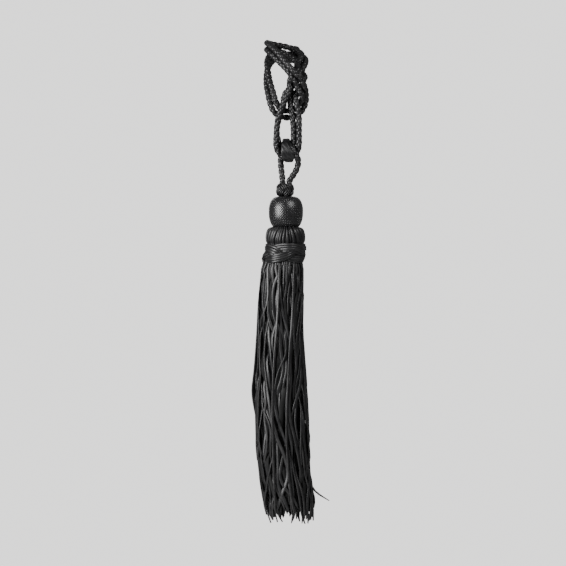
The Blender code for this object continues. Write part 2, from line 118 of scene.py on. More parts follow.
def evenly(line, step, closed=False):
    """Place points a step apart along a line."""
    if closed:
        line = np.vstack([line, line[:1]])
    along = travelled(line)
    count = int(round(along[-1] / step))
    at = np.linspace(0.0, along[-1], count + 1)[:count if closed else None]
    return np.stack([np.interp(at, along, column) for column in line.T], axis=1)


def steps_along(values, closed):
    """Give the change at each point of a line."""
    if closed:
        return (np.roll(values, -1, axis=0) - np.roll(values, 1, axis=0)) / 2
    return np.gradient(values, axis=0)


def ease(x):
    """Rise from 0 to 1 without a corner."""
    x = np.clip(x, 0.0, 1.0)
    return x * x * (3 - 2 * x)


print("a soft rise passes", ease(0.25), "and", ease(0.75))

# %% [markdown]
# ## The route of the cord
#
# The cord shows no free end, so it is one endless cord laid double: out along the route, round, and
# back beside itself.  The last column turns the pair, so that its strands lie side by side or one
# before the other.  The points are read off, because a knot has no formula.

# %% Routes of the two cords
# x, y, z of the pair's middle, and the turn of the pair in degrees
TIE_ROUTE = [
    # left eye, then round the left edge and down the left side
    (-0.0077, 0.066, 0.0224, 0), (-0.0091, 0.055, 0.021, 0), (-0.0133, 0.04, 0.0182, 0),
    (-0.0196, 0.027, 0.0126, 0), (-0.0245, 0.013, 0.0042, 0), (-0.026, 0.0, -0.0056, 0),
    (-0.0255, -0.01, -0.0168, 0), (-0.0242, -0.018, -0.0294, 0), (-0.0214, -0.024, -0.0406, 0),
    # left lobe, behind the middle strands, and up the right lobe
    (-0.019, -0.027, -0.051, 0), (-0.0154, -0.028, -0.061, 0), (-0.0091, -0.027, -0.0693, 0),
    (-0.0007, -0.026, -0.072, 0), (0.0077, -0.026, -0.0721, 0), (0.0161, -0.027, -0.0686, 0),
    (0.022, -0.029, -0.0602, 0), (0.0239, -0.033, -0.0504, 0), (0.0224, -0.04, -0.0392, 20),
    # over everything, up to the left edge
    (0.0175, -0.046, -0.028, 40), (0.0105, -0.051, -0.0182, 60), (0.0021, -0.049, -0.008, 60),
    (-0.0063, -0.042, 0.0019, 45), (-0.0154, -0.033, 0.0127, 20), (-0.0226, -0.02, 0.0207, 5),
    (-0.026, -0.007, 0.025, 0),
    # across the back and round the right edge
    (-0.0246, 0.007, 0.0264, 0), (-0.0175, 0.02, 0.0259, 0), (-0.0077, 0.027, 0.0252, 0),
    (0.0049, 0.028, 0.0224, 0), (0.015, 0.02, 0.0168, 0), (0.0207, 0.008, 0.0091, 0),
    (0.0224, -0.004, 0.0, 0), (0.0202, -0.016, -0.0098, 10), (0.0154, -0.027, -0.0196, 40),
    # left middle strands and the left limb of the lower loop
    (0.0098, -0.035, -0.0308, 70), (0.0042, -0.038, -0.0425, 85), (-0.0021, -0.039, -0.0574, 90),
    (-0.007, -0.038, -0.0707, 90), (-0.0108, -0.037, -0.084, 90), (-0.0123, -0.036, -0.0994, 90),
    (-0.0105, -0.037, -0.1141, 60), (-0.0049, -0.0375, -0.1253, 20),
    # bottom of the lower loop and its right limb
    (0.0035, -0.0375, -0.1302, 0), (0.0112, -0.0375, -0.1253, 10), (0.0147, -0.0375, -0.1141, 30),
    (0.0151, -0.0375, -0.0994, 38), (0.0147, -0.0375, -0.0826, 30), (0.013, -0.037, -0.0672, 20),
    # right middle strands, up the right side, and the right eye
    (0.0116, -0.036, -0.0532, 25), (0.0119, -0.033, -0.0406, 40), (0.0154, -0.028, -0.0294, 30),
    (0.0196, -0.021, -0.0196, 10), (0.0224, -0.01, -0.0098, 0), (0.023, 0.002, -0.0007, 0),
    (0.0206, 0.015, 0.007, 0), (0.0154, 0.029, 0.0133, 0), (0.0098, 0.042, 0.0175, 0),
    (0.0077, 0.055, 0.0196, 0), (0.0077, 0.066, 0.021, 0),
]

# x, y, z of the loop that the tassel hangs by
HANGER_ROUTE = [
    (-0.0041, -0.036, -0.1709), (-0.0041, -0.036, -0.1665), (-0.005, -0.035, -0.157),
    (-0.0063, -0.032, -0.1456), (-0.0066, -0.028, -0.1344), (-0.0057, -0.025, -0.1246),
    (-0.0035, -0.026, -0.1162), (0.0014, -0.036, -0.1137), (0.0067, -0.046, -0.1197),
    (0.0126, -0.048, -0.1271), (0.017, -0.044, -0.1351), (0.0172, -0.039, -0.1456),
    (0.0116, -0.037, -0.1575), (0.0056, -0.036, -0.1665), (0.0056, -0.036, -0.1709),
]

print("points of the routes:", len(TIE_ROUTE), "and", len(HANGER_ROUTE))

# %% Lay the tie double
CORD_DIAMETER, CORD_SPACING = 0.0088, 0.0094
EYE_SPREAD, EYE_LENGTH = 0.024, 0.042
KNOT_END, BELOW_KNOT = 0.060, 0.030
SETTLE_STEP = 0.003
# one degree of turn takes up as much of the route as one millimetre
DEGREE_LENGTH = 0.001


def outward_from_loop(places, along):
    """Point out of the loop, and straight to the front below the knot."""
    round_loop = unit(places * [1.0, 1.0, 0.0])
    below = np.clip((-places[:, 2] - KNOT_END) / BELOW_KNOT, 0.0, 1.0)[:, None]
    outward = round_loop * (1 - below) + np.array([0.0, -1.0, 0.0]) * below
    return unit(outward - (outward * along).sum(axis=1)[:, None] * along)


def end_turn(first, second, along, count=7):
    """Carry one strand round into the other in a half circle."""
    middle, half = (first + second) / 2, (first - second) / 2
    angles = np.linspace(0.0, math.pi, count + 2)[1:-1][:, None]
    return middle + half * np.cos(angles) + along * np.linalg.norm(half) * np.sin(angles)


def doubled_tie():
    """Draw the endless cord as two strands that turn at each end."""
    lengths = np.array([1.0, 1.0, 1.0, DEGREE_LENGTH])
    route = evenly(smooth_line(TIE_ROUTE) * lengths, SETTLE_STEP) / lengths
    places, turn = route[:, :3], np.radians(route[:, 3])[:, None]
    along = unit(np.gradient(places, axis=0))
    outward = outward_from_loop(places, along)
    sideways = np.cross(along, outward) * np.cos(turn) + outward * np.sin(turn)
    reached = np.arange(len(places)) * SETTLE_STEP
    near_end = ease(1 - reached / EYE_LENGTH) + ease(1 - (reached[-1] - reached) / EYE_LENGTH)
    spread = CORD_SPACING + (EYE_SPREAD - CORD_SPACING) * near_end
    offset = sideways * spread[:, None] / 2
    first, second = places + offset, places - offset
    far_turn = end_turn(first[-1], second[-1], along[-1])
    near_turn = end_turn(second[0], first[0], -along[0])
    whole = np.vstack([first, far_turn, second[::-1], near_turn])
    return evenly(whole, SETTLE_STEP, closed=True)


tie_start = doubled_tie()
print("doubled tie:", len(tie_start), "points")

# %% [markdown]
# ## Let the cord settle
#
# Listed points never clear each other exactly.  A rope simulation would do it, and so do a
# few hundred small steps: each point moves a little towards a smooth curve and its own place, and
# points closer than one cord beside another push each other apart.

# %% Which points push each other apart
SAME_STRETCH = 1.9 * CORD_DIAMETER
PUSH_SHARE = 0.3


def neighbours(tie_count, count):
    """Give the points before and after; the tie is closed, the hanger open."""
    order = np.arange(count)
    before, after = order - 1, order + 1
    before[0], after[tie_count - 1] = tie_count - 1, 0
    before[tie_count], after[-1] = tie_count, count - 1
    return before, after


def pairs_to_part(tie_count, count):
    """Mark the pairs of points that mustn't touch."""
    order = np.arange(count)
    apart = np.abs(order[:, None] - order)
    in_tie = order < tie_count
    apart = np.where(in_tie[:, None] & in_tie, np.minimum(apart, tie_count - apart), apart)
    near_along = (in_tie[:, None] == in_tie) & (apart * SETTLE_STEP < SAME_STRETCH)
    return np.triu(~near_along, k=1)


def push_apart(points, apart):
    """Give the move that parts points closer than one cord beside another."""
    gaps = ((points[:, None] - points[None]) ** 2).sum(axis=-1)
    i, j = np.nonzero((gaps < CORD_SPACING**2) & apart)
    between = points[i] - points[j]
    distance = np.linalg.norm(between, axis=1) + 1e-12
    push = (CORD_SPACING - distance)[:, None] * between / distance[:, None] * PUSH_SHARE
    move, count = np.zeros_like(points), np.zeros(len(points))
    for ends, way in ((i, 1), (j, -1)):
        np.add.at(move, ends, way * push)
        np.add.at(count, ends, 1)
    return move / np.sqrt(np.maximum(count, 1))[:, None]


print("points further apart than", round(SAME_STRETCH, 4), "m along the cord keep clear")

# %% Settle the cords
HELD_HALF_WIDTH, HELD_HALF_DEPTH, HELD_BOTTOM = 0.0185, 0.017, -0.075
SETTLE_PASSES, CLEARING_PASSES = 360, 60
SMOOTHING, STRAIGHTENING, HOLD, LAST_SMOOTHING = 0.2, 0.02, 0.05, 0.1


def keep_loop_open(points, tie_count):
    """Move the tie's points out of the space that the loop goes round."""
    reach = CORD_DIAMETER / 2
    share = np.hypot(
        points[:, 0] / (HELD_HALF_WIDTH + reach), points[:, 1] / (HELD_HALF_DEPTH + reach)
    )
    inside = (share < 1) & (points[:, 2] > HELD_BOTTOM) & (np.arange(len(points)) < tie_count)
    points[inside, :2] /= share[inside, None]


def settled_cords(tie, hanger):
    """Let both cords settle until they lie clear of each other."""
    tie_count, count = len(tie), len(tie) + len(hanger)
    start = np.vstack([tie, hanger])
    points = start.copy()
    before, after = neighbours(tie_count, count)
    apart = pairs_to_part(tie_count, count)
    free = np.ones((count, 1))
    free[tie_count:tie_count + 3] = free[-3:] = 0.0
    for number in range(SETTLE_PASSES):
        middle = (points[before] + points[after]) / 2
        wider = (points[before[before]] + points[after[after]]) / 2
        bend = (4 * middle - wider) / 3 - points
        move = LAST_SMOOTHING * bend
        if number < SETTLE_PASSES - CLEARING_PASSES:
            move = SMOOTHING * bend + STRAIGHTENING * (middle - points) + HOLD * (start - points)
        points = points + free * move
        points = points + free * push_apart(points, apart)
        keep_loop_open(points, tie_count)
    return points[:tie_count], points[tie_count:]


hanger_start = evenly(smooth_line(HANGER_ROUTE), SETTLE_STEP)
tie_points, hanger_points = settled_cords(tie_start, hanger_start)
print("tie:", len(tie_points), "points; hanger:", len(hanger_points), "points")

# %% [markdown]
# ## Leather
#
# The laces are cut from one hide, dyed black.  The grain side has fine pores and a soft gloss, the
# cut edges wear paler and rougher, and the flesh side is matt.  Four marks on each mesh say how far
# across and along a point is, on which lace and on which side.  One node group turns them into a
# colour, a roughness and a height.  An image of leather would have one size only, and repeat.

# %% Small helpers for node trees
MARKS = ("across", "along", "lace", "flesh")
# places of the colours among the sockets of a Mix node
MIX_FIRST, MIX_SECOND, MIX_RESULT = 6, 7, 2


def set_inputs(tree, node, inputs):
    """Set each input to a value, or link an output to it."""
    for name, value in inputs.items():
        if isinstance(value, bpy.types.NodeSocket):
            tree.links.new(value, node.inputs[name])
        else:
            node.inputs[name].default_value = value


def add_node(tree, kind, inputs=None, **settings):
    """Add a node with its properties and its inputs."""
    node = tree.nodes.new(kind)
    for name, value in settings.items():
        setattr(node, name, value)
    set_inputs(tree, node, inputs or {})
    return node


def sum_node(tree, operation, *values):
    """Add a Math node; each value is a number or an output."""
    inputs = dict(enumerate(values))
    return add_node(tree, "ShaderNodeMath", inputs, operation=operation).outputs[0]


def ramp_node(tree, value, low, high, to_low=0.0, to_high=1.0):
    """Carry a value softly from one range to another."""
    inputs = {"Value": value, "From Min": low, "From Max": high, "To Min": to_low, "To Max": to_high}
    node = add_node(tree, "ShaderNodeMapRange", inputs, interpolation_type="SMOOTHSTEP")
    return node.outputs["Result"]


def colour_mix(tree, share, first, second):
    """Mix two colours by a share."""
    inputs = {"Factor": share, MIX_FIRST: first, MIX_SECOND: second}
    return add_node(tree, "ShaderNodeMix", inputs, data_type="RGBA").outputs[MIX_RESULT]


print("marks on each mesh:", MARKS)

# %% [markdown]
# Pores and creases give the height.  Broad patches make colour and roughness uneven, as hide takes
# dye unevenly.  The outer edge of each lace is rubbed paler.

# %% Where the grain lies
HALF_LACE = 0.0018
LACE_STEP = 7.3


def lace_place(tree, mark):
    """Give a point's place on its own lace, so that the grain runs along it."""
    across = sum_node(tree, "MULTIPLY", mark["across"], HALF_LACE)
    lace = sum_node(tree, "MULTIPLY", mark["lace"], LACE_STEP)
    inputs = {"X": across, "Y": mark["along"], "Z": lace}
    return add_node(tree, "ShaderNodeCombineXYZ", inputs).outputs[0]


def noise_at(tree, place, scale, detail):
    """Add a noise texture at a place."""
    inputs = {"Vector": place, "Scale": scale, "Detail": detail}
    return add_node(tree, "ShaderNodeTexNoise", inputs).outputs["Fac"]


print("the grain of one lace is", LACE_STEP, "m from the next, so that they differ")

# %% The shared leather group
LEATHER_INPUTS = {
    "Dye": (0.012, 0.012, 0.013, 1.0), "Worn": (0.05, 0.047, 0.044, 1.0),
    "Pores per metre": 1800.0, "Patches per metre": 90.0, "Edge wear": 0.6,
    "Base roughness": 0.38, "Lace variation": 0.5,
}
LEATHER_OUTPUTS = {
    "Colour": "NodeSocketColor", "Roughness": "NodeSocketFloat", "Height": "NodeSocketFloat",
}
CREASES_PER_METRE = 620.0
RUBBED_FROM, RUBBED_PATCHES, PALER_PATCHES = 0.72, (0.36, 0.62), 0.8
UNEVEN_ROUGHNESS = (0.3, 0.7, -0.07, 0.09)
WORN_ROUGHER, FLESH_ROUGHER, ROUGHEST = 0.2, 0.3, 0.95
PORE_EDGE, PORE_SHARE, CREASE_SHARE = 0.45, 0.45, 0.55


def build_leather_group():
    """Build the group that gives colour, roughness and height."""
    tree = bpy.data.node_groups.new("cut_leather", "ShaderNodeTree")
    for name, value in LEATHER_INPUTS.items():
        kind = "NodeSocketFloat" if isinstance(value, float) else "NodeSocketColor"
        socket = tree.interface.new_socket(name=name, in_out="INPUT", socket_type=kind)
        socket.default_value = value
    for name, kind in LEATHER_OUTPUTS.items():
        tree.interface.new_socket(name=name, in_out="OUTPUT", socket_type=kind)
    given = add_node(tree, "NodeGroupInput").outputs
    times, plus = partial(sum_node, tree, "MULTIPLY"), partial(sum_node, tree, "ADD")
    mark = {}
    for name in MARKS:
        mark[name] = add_node(tree, "ShaderNodeAttribute", attribute_name=name).outputs["Fac"]

    place = lace_place(tree, mark)
    cells = {"Vector": place, "Scale": given["Pores per metre"]}
    pores = add_node(tree, "ShaderNodeTexVoronoi", cells, feature="F1").outputs["Distance"]
    patches = noise_at(tree, place, given["Patches per metre"], 5.0)
    creases = noise_at(tree, place, CREASES_PER_METRE, 3.0)

    edge = ramp_node(tree, sum_node(tree, "ABSOLUTE", mark["across"]), RUBBED_FROM, 1.0)
    wear = times(times(edge, ramp_node(tree, patches, *RUBBED_PATCHES)), given["Edge wear"])
    paler = times(times(mark["lace"], given["Lace variation"]), times(patches, PALER_PATCHES))
    share = sum_node(tree, "MINIMUM", plus(wear, paler), 1.0)
    rough = plus(given["Base roughness"], ramp_node(tree, patches, *UNEVEN_ROUGHNESS))
    rough = plus(plus(rough, times(wear, WORN_ROUGHER)), times(mark["flesh"], FLESH_ROUGHER))
    pore_height = times(ramp_node(tree, pores, 0.0, PORE_EDGE), PORE_SHARE)
    add_node(tree, "NodeGroupOutput", {
        "Colour": colour_mix(tree, share, given["Dye"], given["Worn"]),
        "Roughness": sum_node(tree, "MINIMUM", rough, ROUGHEST),
        "Height": plus(pore_height, times(creases, CREASE_SHARE)),
    })
    return tree


leather_group = build_leather_group()
print("leather group:", len(leather_group.nodes), "nodes")

# %% [markdown]
# ## The finishes
#
# The braid is rubbed smooth by hands, the bead's cover is burnished, and the laces of the tassel
# are satin.  Between them nothing catches the light, so the core and the inner laces are painted
# nearly black and matt, as painted shade.

# %% Finishes
PORE_DEPTH, COAT_ROUGHNESS, LEATHER_IOR = 0.0002, 0.2, 1.5


def leather(name, dye, worn, roughness, wear, variation=0.5, coat=0.0, relief=0.5):
    """Make one leather finish from the shared group."""
    material = bpy.data.materials.new(name)
    material.use_nodes = True
    tree = material.node_tree
    grain = add_node(tree, "ShaderNodeGroup", node_tree=leather_group)
    set_inputs(tree, grain, {
        "Dye": (*dye, 1.0), "Worn": (*worn, 1.0), "Edge wear": wear,
        "Base roughness": roughness, "Lace variation": variation,
    })
    heights = {"Strength": relief, "Distance": PORE_DEPTH, "Height": grain.outputs["Height"]}
    bump = add_node(tree, "ShaderNodeBump", heights)
    set_inputs(tree, tree.nodes["Principled BSDF"], {
        "Coat Weight": coat, "Coat Roughness": COAT_ROUGHNESS, "IOR": LEATHER_IOR,
        "Base Color": grain.outputs["Colour"], "Roughness": grain.outputs["Roughness"],
        "Normal": bump.outputs["Normal"],
    })
    return material


BLACK_DYE = (0.0065, 0.0065, 0.0075)
WORN_EDGE = (0.042, 0.04, 0.039)
# painted shade: a near black, darker than the dye, for the cores and the inner laces
PAINTED_SHADE_BLACK = (0.002, 0.002, 0.002)
braid_leather = leather("braid_leather", BLACK_DYE, WORN_EDGE, 0.4, 0.45, coat=0.1, relief=0.35)
bead_leather = leather(
    "bead_leather", BLACK_DYE, WORN_EDGE, 0.28, 0.2, variation=0.35, coat=0.6, relief=0.06
)
lace_leather = leather(
    "lace_leather", BLACK_DYE, WORN_EDGE, 0.42, 0.3, variation=0.6, coat=0.1, relief=0.1
)
# the leather painted near black as shade, for the cores and the inner laces of the fringe
painted_shade_leather = leather("painted_shade_leather", PAINTED_SHADE_BLACK, PAINTED_SHADE_BLACK, 0.8, 0.0)
SLOT_LEATHER = {"braid": braid_leather, "bead_cover": bead_leather, "laces": lace_leather}
print("finishes:", SLOT_LEATHER)

# %% [markdown]
# ## How a lace becomes a mesh
#
# A cut lace is flat below and crowned above, with its upper edges pressed round.  A few points give
# that cross section.  Laid along a line and joined, the sections make a closed tube.

# %% Cross sections
# share of the half width, share of the half thickness
LACE_SECTION = np.array([
    (-1.0, 0.1), (-0.82, 0.72), (-0.42, 1.05), (0.0, 1.15), (0.42, 1.05),
    (0.82, 0.72), (1.0, 0.1), (0.9, -0.85), (0.0, -1.0), (-0.9, -0.85),
])
# A plainer section for pieces with very many laces
FINE_SECTION = np.array([
    (-1.0, 0.0), (-0.78, 1.0), (0.78, 1.0), (1.0, 0.0), (0.85, -1.0), (-0.85, -1.0),
])
# A flat top with pressed edges, for the burnished cover of the bead
TILE_SECTION = np.array([
    (-1.0, 0.0), (-0.94, 0.75), (-0.8, 1.0), (0.8, 1.0), (0.94, 0.75), (1.0, 0.0),
    (0.85, -1.0), (-0.85, -1.0),
])
# A cut strap with a barely rounded face, for the fringe and the band
STRAP_SECTION = np.array([
    (-1.0, -0.1), (-0.93, 0.62), (-0.5, 0.92), (0.0, 1.0), (0.5, 0.92), (0.93, 0.62), (1.0, -0.1),
    (0.85, -1.0), (-0.85, -1.0),
])
SHARP_EDGE = math.radians(62)
print("points round a lace:", len(LACE_SECTION), "or", len(FINE_SECTION))

# %% [markdown]
# A bundle collects the points, faces and marks of many laces.  One mesh for them keeps the scene
# light, and the marks still tell the laces apart.


# %% Bundles of laces
def new_bundle():
    """Start an empty bundle of laces."""
    return {"points": [], "faces": [], "painted_shade": [], "count": 0, **{mark: [] for mark in MARKS}}


def add_lace(bundle, rings, section, lace, closed=False, painted_shade=0):
    """Join the cross sections of one lace into a tube and keep its marks; a lace marked 1 gets the
    leather painted near black as shade.
    """
    count, around = rings.shape[:2]
    index = bundle["count"] + np.arange(count * around).reshape(count, around)
    upper = np.roll(index, -1, axis=0) if closed else index[1:]
    lower = index if closed else index[:-1]
    corners = [lower, np.roll(lower, -1, axis=1), np.roll(upper, -1, axis=1), upper]
    faces = np.stack(corners, axis=-1).reshape(-1, 4).tolist()
    if not closed:
        faces += [index[0][::-1].tolist(), index[-1].tolist()]
    bundle["faces"] += faces
    bundle["painted_shade"] += [painted_shade] * len(faces)
    bundle["points"].append(rings.reshape(-1, 3))
    bundle["count"] += count * around
    bundle["across"].append(np.tile(section[:, 0], count))
    bundle["along"].append(np.repeat(travelled(rings.mean(axis=1)), around))
    bundle["lace"].append(np.full(count * around, lace))
    bundle["flesh"].append(np.tile((section[:, 1] < -0.5) * 1.0, count))


def finish_bundle(bundle, name, node, slot):
    """Turn a bundle into an object that replaces its solid."""
    mesh = bpy.data.meshes.new(name)
    mesh.from_pydata(np.concatenate(bundle["points"]).tolist(), [], bundle["faces"])
    shape = bmesh.new()
    shape.from_mesh(mesh)
    bmesh.ops.recalc_face_normals(shape, faces=shape.faces)
    shape.to_mesh(mesh)
    shape.free()
    for mark in MARKS:
        values = np.concatenate(bundle[mark]).astype(np.float32)
        mesh.attributes.new(mark, "FLOAT", "POINT").data.foreach_set("value", values)
    mesh.materials.append(SLOT_LEATHER[slot])
    # the second slot is the leather painted near black as shade
    if 1 in bundle["painted_shade"]:
        mesh.materials.append(painted_shade_leather)
    mesh.polygons.foreach_set("material_index", bundle["painted_shade"])
    mesh.shade_smooth()
    mesh.set_sharp_from_angle(angle=SHARP_EDGE)
    mesh.update()
    piece = new_object(name, mesh)
    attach(piece, "root")
    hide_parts(node)
    triangles = sum(len(face) - 2 for face in bundle["faces"])
    print(f"{name}: {len(bundle['points'])} laces, {triangles} triangles")
    return piece


def mark_of(number):
    """Give the lace with a number its own mark, spread between 0 and 1."""
    return (0.618 * number + 0.1) % 1.0


print("a new bundle holds:", sorted(new_bundle()))

# %% [markdown]
# ## The braid
#
# The cord is a round braid of four flat laces, two running each way round it, and each passes over
# one and under the next.  So a lace's radius rises and falls twice in a turn.  One small piece
# repeated along a curve would be stretched in the bends, so each lace is drawn along the cord.

# %% The cord's line and its cross directions
FINE_STEPS = 6


def fine_points(points, closed):
    """Round off the settled points, with a closed line joined to itself."""
    if not closed:
        return smooth_line(points, FINE_STEPS)
    wrapped = smooth_line(np.vstack([points[-2:], points, points[:3]]), FINE_STEPS)
    return wrapped[2 * FINE_STEPS:(2 + len(points)) * FINE_STEPS]


def level_frames(line, closed):
    """Give two cross directions at each point that turn as little as they can."""
    along = unit(steps_along(line, closed))
    start = np.array([0.0, 1.0, 0.0]) if abs(along[0, 1]) < 0.8 else np.array([1.0, 0.0, 0.0])
    across = [start - start.dot(along[0]) * along[0]]
    for direction in np.vstack([along[1:], along[:1]]) if closed else along[1:]:
        last = across[-1] / np.linalg.norm(across[-1])
        across.append(last - last.dot(direction) * direction)
    across = unit(np.array(across))
    turn = np.zeros(len(line))
    if closed:
        other = np.cross(along[0], across[0])
        left_over = math.atan2(across[-1].dot(other), across[-1].dot(across[0]))
        turn = -left_over * np.arange(len(line)) / len(line)
    across = across[:len(line)]
    other = np.cross(along, across)
    first = across * np.cos(turn)[:, None] + other * np.sin(turn)[:, None]
    return first, np.cross(along, first)


def cord_spine(points, closed):
    """Collect a cord's line, its cross directions and the distances along it."""
    line = fine_points(points, closed)
    first, second = level_frames(line, closed)
    table = np.hstack([line, first, second])
    if closed:
        table = np.vstack([table, table[:1]])
    return {"table": table, "at": travelled(table[:, :3]), "closed": closed}


def on_cord(spine, at, turn, radius):
    """Give the points at a distance along the cord, a turn and a radius."""
    length = spine["at"][-1]
    at = at % length if spine["closed"] else np.clip(at, 0.0, length)
    row = np.stack([np.interp(at, spine["at"], column) for column in spine["table"].T], axis=-1)
    first, second = unit(row[..., 3:6]), unit(row[..., 6:9])
    turn, radius = turn[..., None], radius[..., None]
    return row[..., :3] + radius * (np.cos(turn) * first + np.sin(turn) * second)


tie_spine = cord_spine(tie_points, True)
print("the tie's line:", round(tie_spine["at"][-1], 3), "m")

# %% [markdown]
# The laces nearly hide the core: only small holes are left where four of them meet, and the core
# seen there is painted near black as shade.

# %% Braid four laces round the cord's line
BRAID_PITCH = 0.0165
BRAID_RADIUS, BRAID_RISE, BRAID_CORE = 0.0031, 0.0007, 0.0019
BRAID_LACE_WIDTH, BRAID_LACE_THICKNESS = 0.0057, 0.0014
BRAID_SAMPLES, CORE_SAMPLES = 16, 4
# which way each lace turns, and where it starts
BRAID_LACES = [(1, 0.0), (1, math.pi), (-1, 0.0), (-1, math.pi)]


def over_and_under(phase, firmness=2.0):
    """Swing between 1 and -1 with long crests, as a woven lace does."""
    return np.tanh(firmness * np.cos(phase)) / math.tanh(firmness)


def shares_along(spine, count):
    """Divide a cord's length evenly; a closed one has no second start."""
    return np.arange(count + (0 if spine["closed"] else 1)) / count


def braid_lace(spine, turns, way, start):
    """Draw one lace, which runs round the cord one way."""
    length = spine["at"][-1]
    share = shares_along(spine, turns * BRAID_SAMPLES)
    at, turn = share * length, start + way * share * turns * 2 * math.pi
    radius = BRAID_RADIUS + way * BRAID_RISE * over_and_under(2 * turn)
    round_step, up_step = way * 2 * math.pi * BRAID_RADIUS, length / turns
    slope = math.hypot(round_step, up_step)
    sideways = LACE_SECTION[:, 0] * BRAID_LACE_WIDTH / 2
    return on_cord(
        spine,
        at[:, None] + sideways * round_step / slope,
        turn[:, None] - sideways * up_step / slope / BRAID_RADIUS,
        radius[:, None] + LACE_SECTION[:, 1] * BRAID_LACE_THICKNESS / 2,
    )


def braid_core(spine, turns):
    """Draw the core in the middle of the braid, in leather painted near black as shade."""
    share = shares_along(spine, turns * CORE_SAMPLES)
    turn = np.linspace(0.0, 2 * math.pi, len(LACE_SECTION), endpoint=False)
    at = np.repeat(share[:, None] * spine["at"][-1], len(turn), axis=1)
    return on_cord(spine, at, np.tile(turn, (len(share), 1)), np.full(at.shape, BRAID_CORE))


def braided_cord(name, spine, node):
    """Braid a cord along its line."""
    turns = int(round(spine["at"][-1] / BRAID_PITCH))
    bundle = new_bundle()
    # the core is painted near black as shade
    add_lace(bundle, braid_core(spine, turns), LACE_SECTION, 0.0, spine["closed"], painted_shade=1)
    for number, (way, start) in enumerate(BRAID_LACES):
        rings = braid_lace(spine, turns, way, start)
        add_lace(bundle, rings, LACE_SECTION, mark_of(number), spine["closed"])
    print(f"{name}: {turns} turns of the braid")
    return finish_bundle(bundle, name, node, "braid")


braided_tie = braided_cord("braided_tie", tie_spine, "tie_cord")

# %% [markdown]
# ## The hanging loop
#
# The loop that the tassel hangs by is braided like the tie, and its two ends reach a little down
# into the button knot.

# %% Braid the hanging loop
HANGER_IN_KNOT = 0.003


sunk = np.array([0.0, 0.0, -HANGER_IN_KNOT])
hanger_line = np.vstack([hanger_points[0] + sunk, hanger_points, hanger_points[-1] + sunk])
hanger_spine = cord_spine(hanger_line, False)
braided_hanger = braided_cord("braided_hanger", hanger_spine, "hanging_loop")
print("hanging loop:", round(hanger_spine["at"][-1], 3), "m")

# %% [markdown]
# ## The wrap
#
# A strip of smooth leather is bound round the place where the hanging loop crosses the tie.  It is
# wound on the slant and pulled tight, so its turns show as soft ridges down to the right.  A
# simulation could wind it, but the ridges are few, so they are drawn.

# %% Where the wrap runs
# y and z of the strip's middle, then x of its left and right edges
WRAP_ROUTE = [
    # over the top, through the opening of the lower loop
    (-0.034, -0.1074, -0.004, 0.0062), (-0.042, -0.1095, -0.0046, 0.0056),
    # down the front
    (-0.0495, -0.114, -0.0052, 0.0036), (-0.0532, -0.1215, -0.006, 0.0068),
    (-0.0535, -0.128, -0.0063, 0.0116), (-0.0505, -0.1345, -0.005, 0.0122),
    # under the bottom of the lower loop
    (-0.0445, -0.1388, -0.0026, 0.0112), (-0.037, -0.14, -0.0012, 0.0108),
    (-0.028, -0.1386, -0.001, 0.011),
    # up the back
    (-0.021, -0.133, -0.0012, 0.0112), (-0.0192, -0.125, -0.0012, 0.011),
    (-0.0196, -0.1175, -0.001, 0.0105), (-0.0232, -0.1102, -0.002, 0.008),
    (-0.028, -0.1079, -0.0036, 0.0064),
]

print("points of the wrap's route:", len(WRAP_ROUTE))

# %% Wrap
WRAP_THICKNESS, WRAP_STEP, WRAP_EDGE = 0.0014, 0.0012, 0.0013
WRAP_RIDGE, WRAP_RIDGE_WIDTH, WRAP_RIDGES_ROUND = 0.0011, 0.0068, 12
WRAP_ACROSS, WRAP_BELOW = 17, 5
LINE_STEPS = 24


def wrap_section():
    """Give many points on the ridged side and few on the flesh side."""
    upper = [(across, 1.0) for across in np.linspace(-1.0, 1.0, WRAP_ACROSS)]
    lower = [(across, -1.0) for across in np.linspace(1.0, -1.0, WRAP_BELOW)]
    return np.array(upper + lower)


def wrap_rings(section):
    """Lay the ridged strip along its closed route."""
    route = np.array(WRAP_ROUTE)
    wrapped = smooth_line(np.vstack([route[-2:], route, route[:3]]), LINE_STEPS)
    line = evenly(wrapped[2 * LINE_STEPS:-2 * LINE_STEPS - 1], WRAP_STEP, closed=True)
    side = unit(steps_along(line, True)[:, :2])
    along = np.arange(len(line)) / len(line)
    left, right = line[:, 2:3], line[:, 3:4]
    x = left + (right - left) * (section[:, 0] + 1) / 2
    winding = math.pi * (x / WRAP_RIDGE_WIDTH - WRAP_RIDGES_ROUND * along[:, None])
    ridge = WRAP_RIDGE * (np.sqrt(np.abs(np.sin(winding))) - 1)
    edge = WRAP_EDGE * section[:, 0]**6
    out = np.where(section[:, 1] > 0, WRAP_THICKNESS / 2 + ridge - edge, -WRAP_THICKNESS / 2)
    y = line[:, 0:1] + side[:, 1:2] * out
    z = line[:, 1:2] - side[:, 0:1] * out
    return np.stack([x, y, z], axis=-1)


wrap_bundle = new_bundle()
add_lace(wrap_bundle, wrap_rings(wrap_section()), wrap_section(), 0.25, closed=True)
finish_bundle(wrap_bundle, "bound_strip", "wrap", "laces")

# %% [markdown]
# ## Laces on turned shapes
#
# The button knot, the bead, the head and the band are laces laid on something round.  Modelling each
# by hand would be slow, so a lace is a line of turns and heights on a barrel, which is a profile
# turned about the tassel's axis.

# %% How the tassel leans and widens
AXIS_Y = -0.036

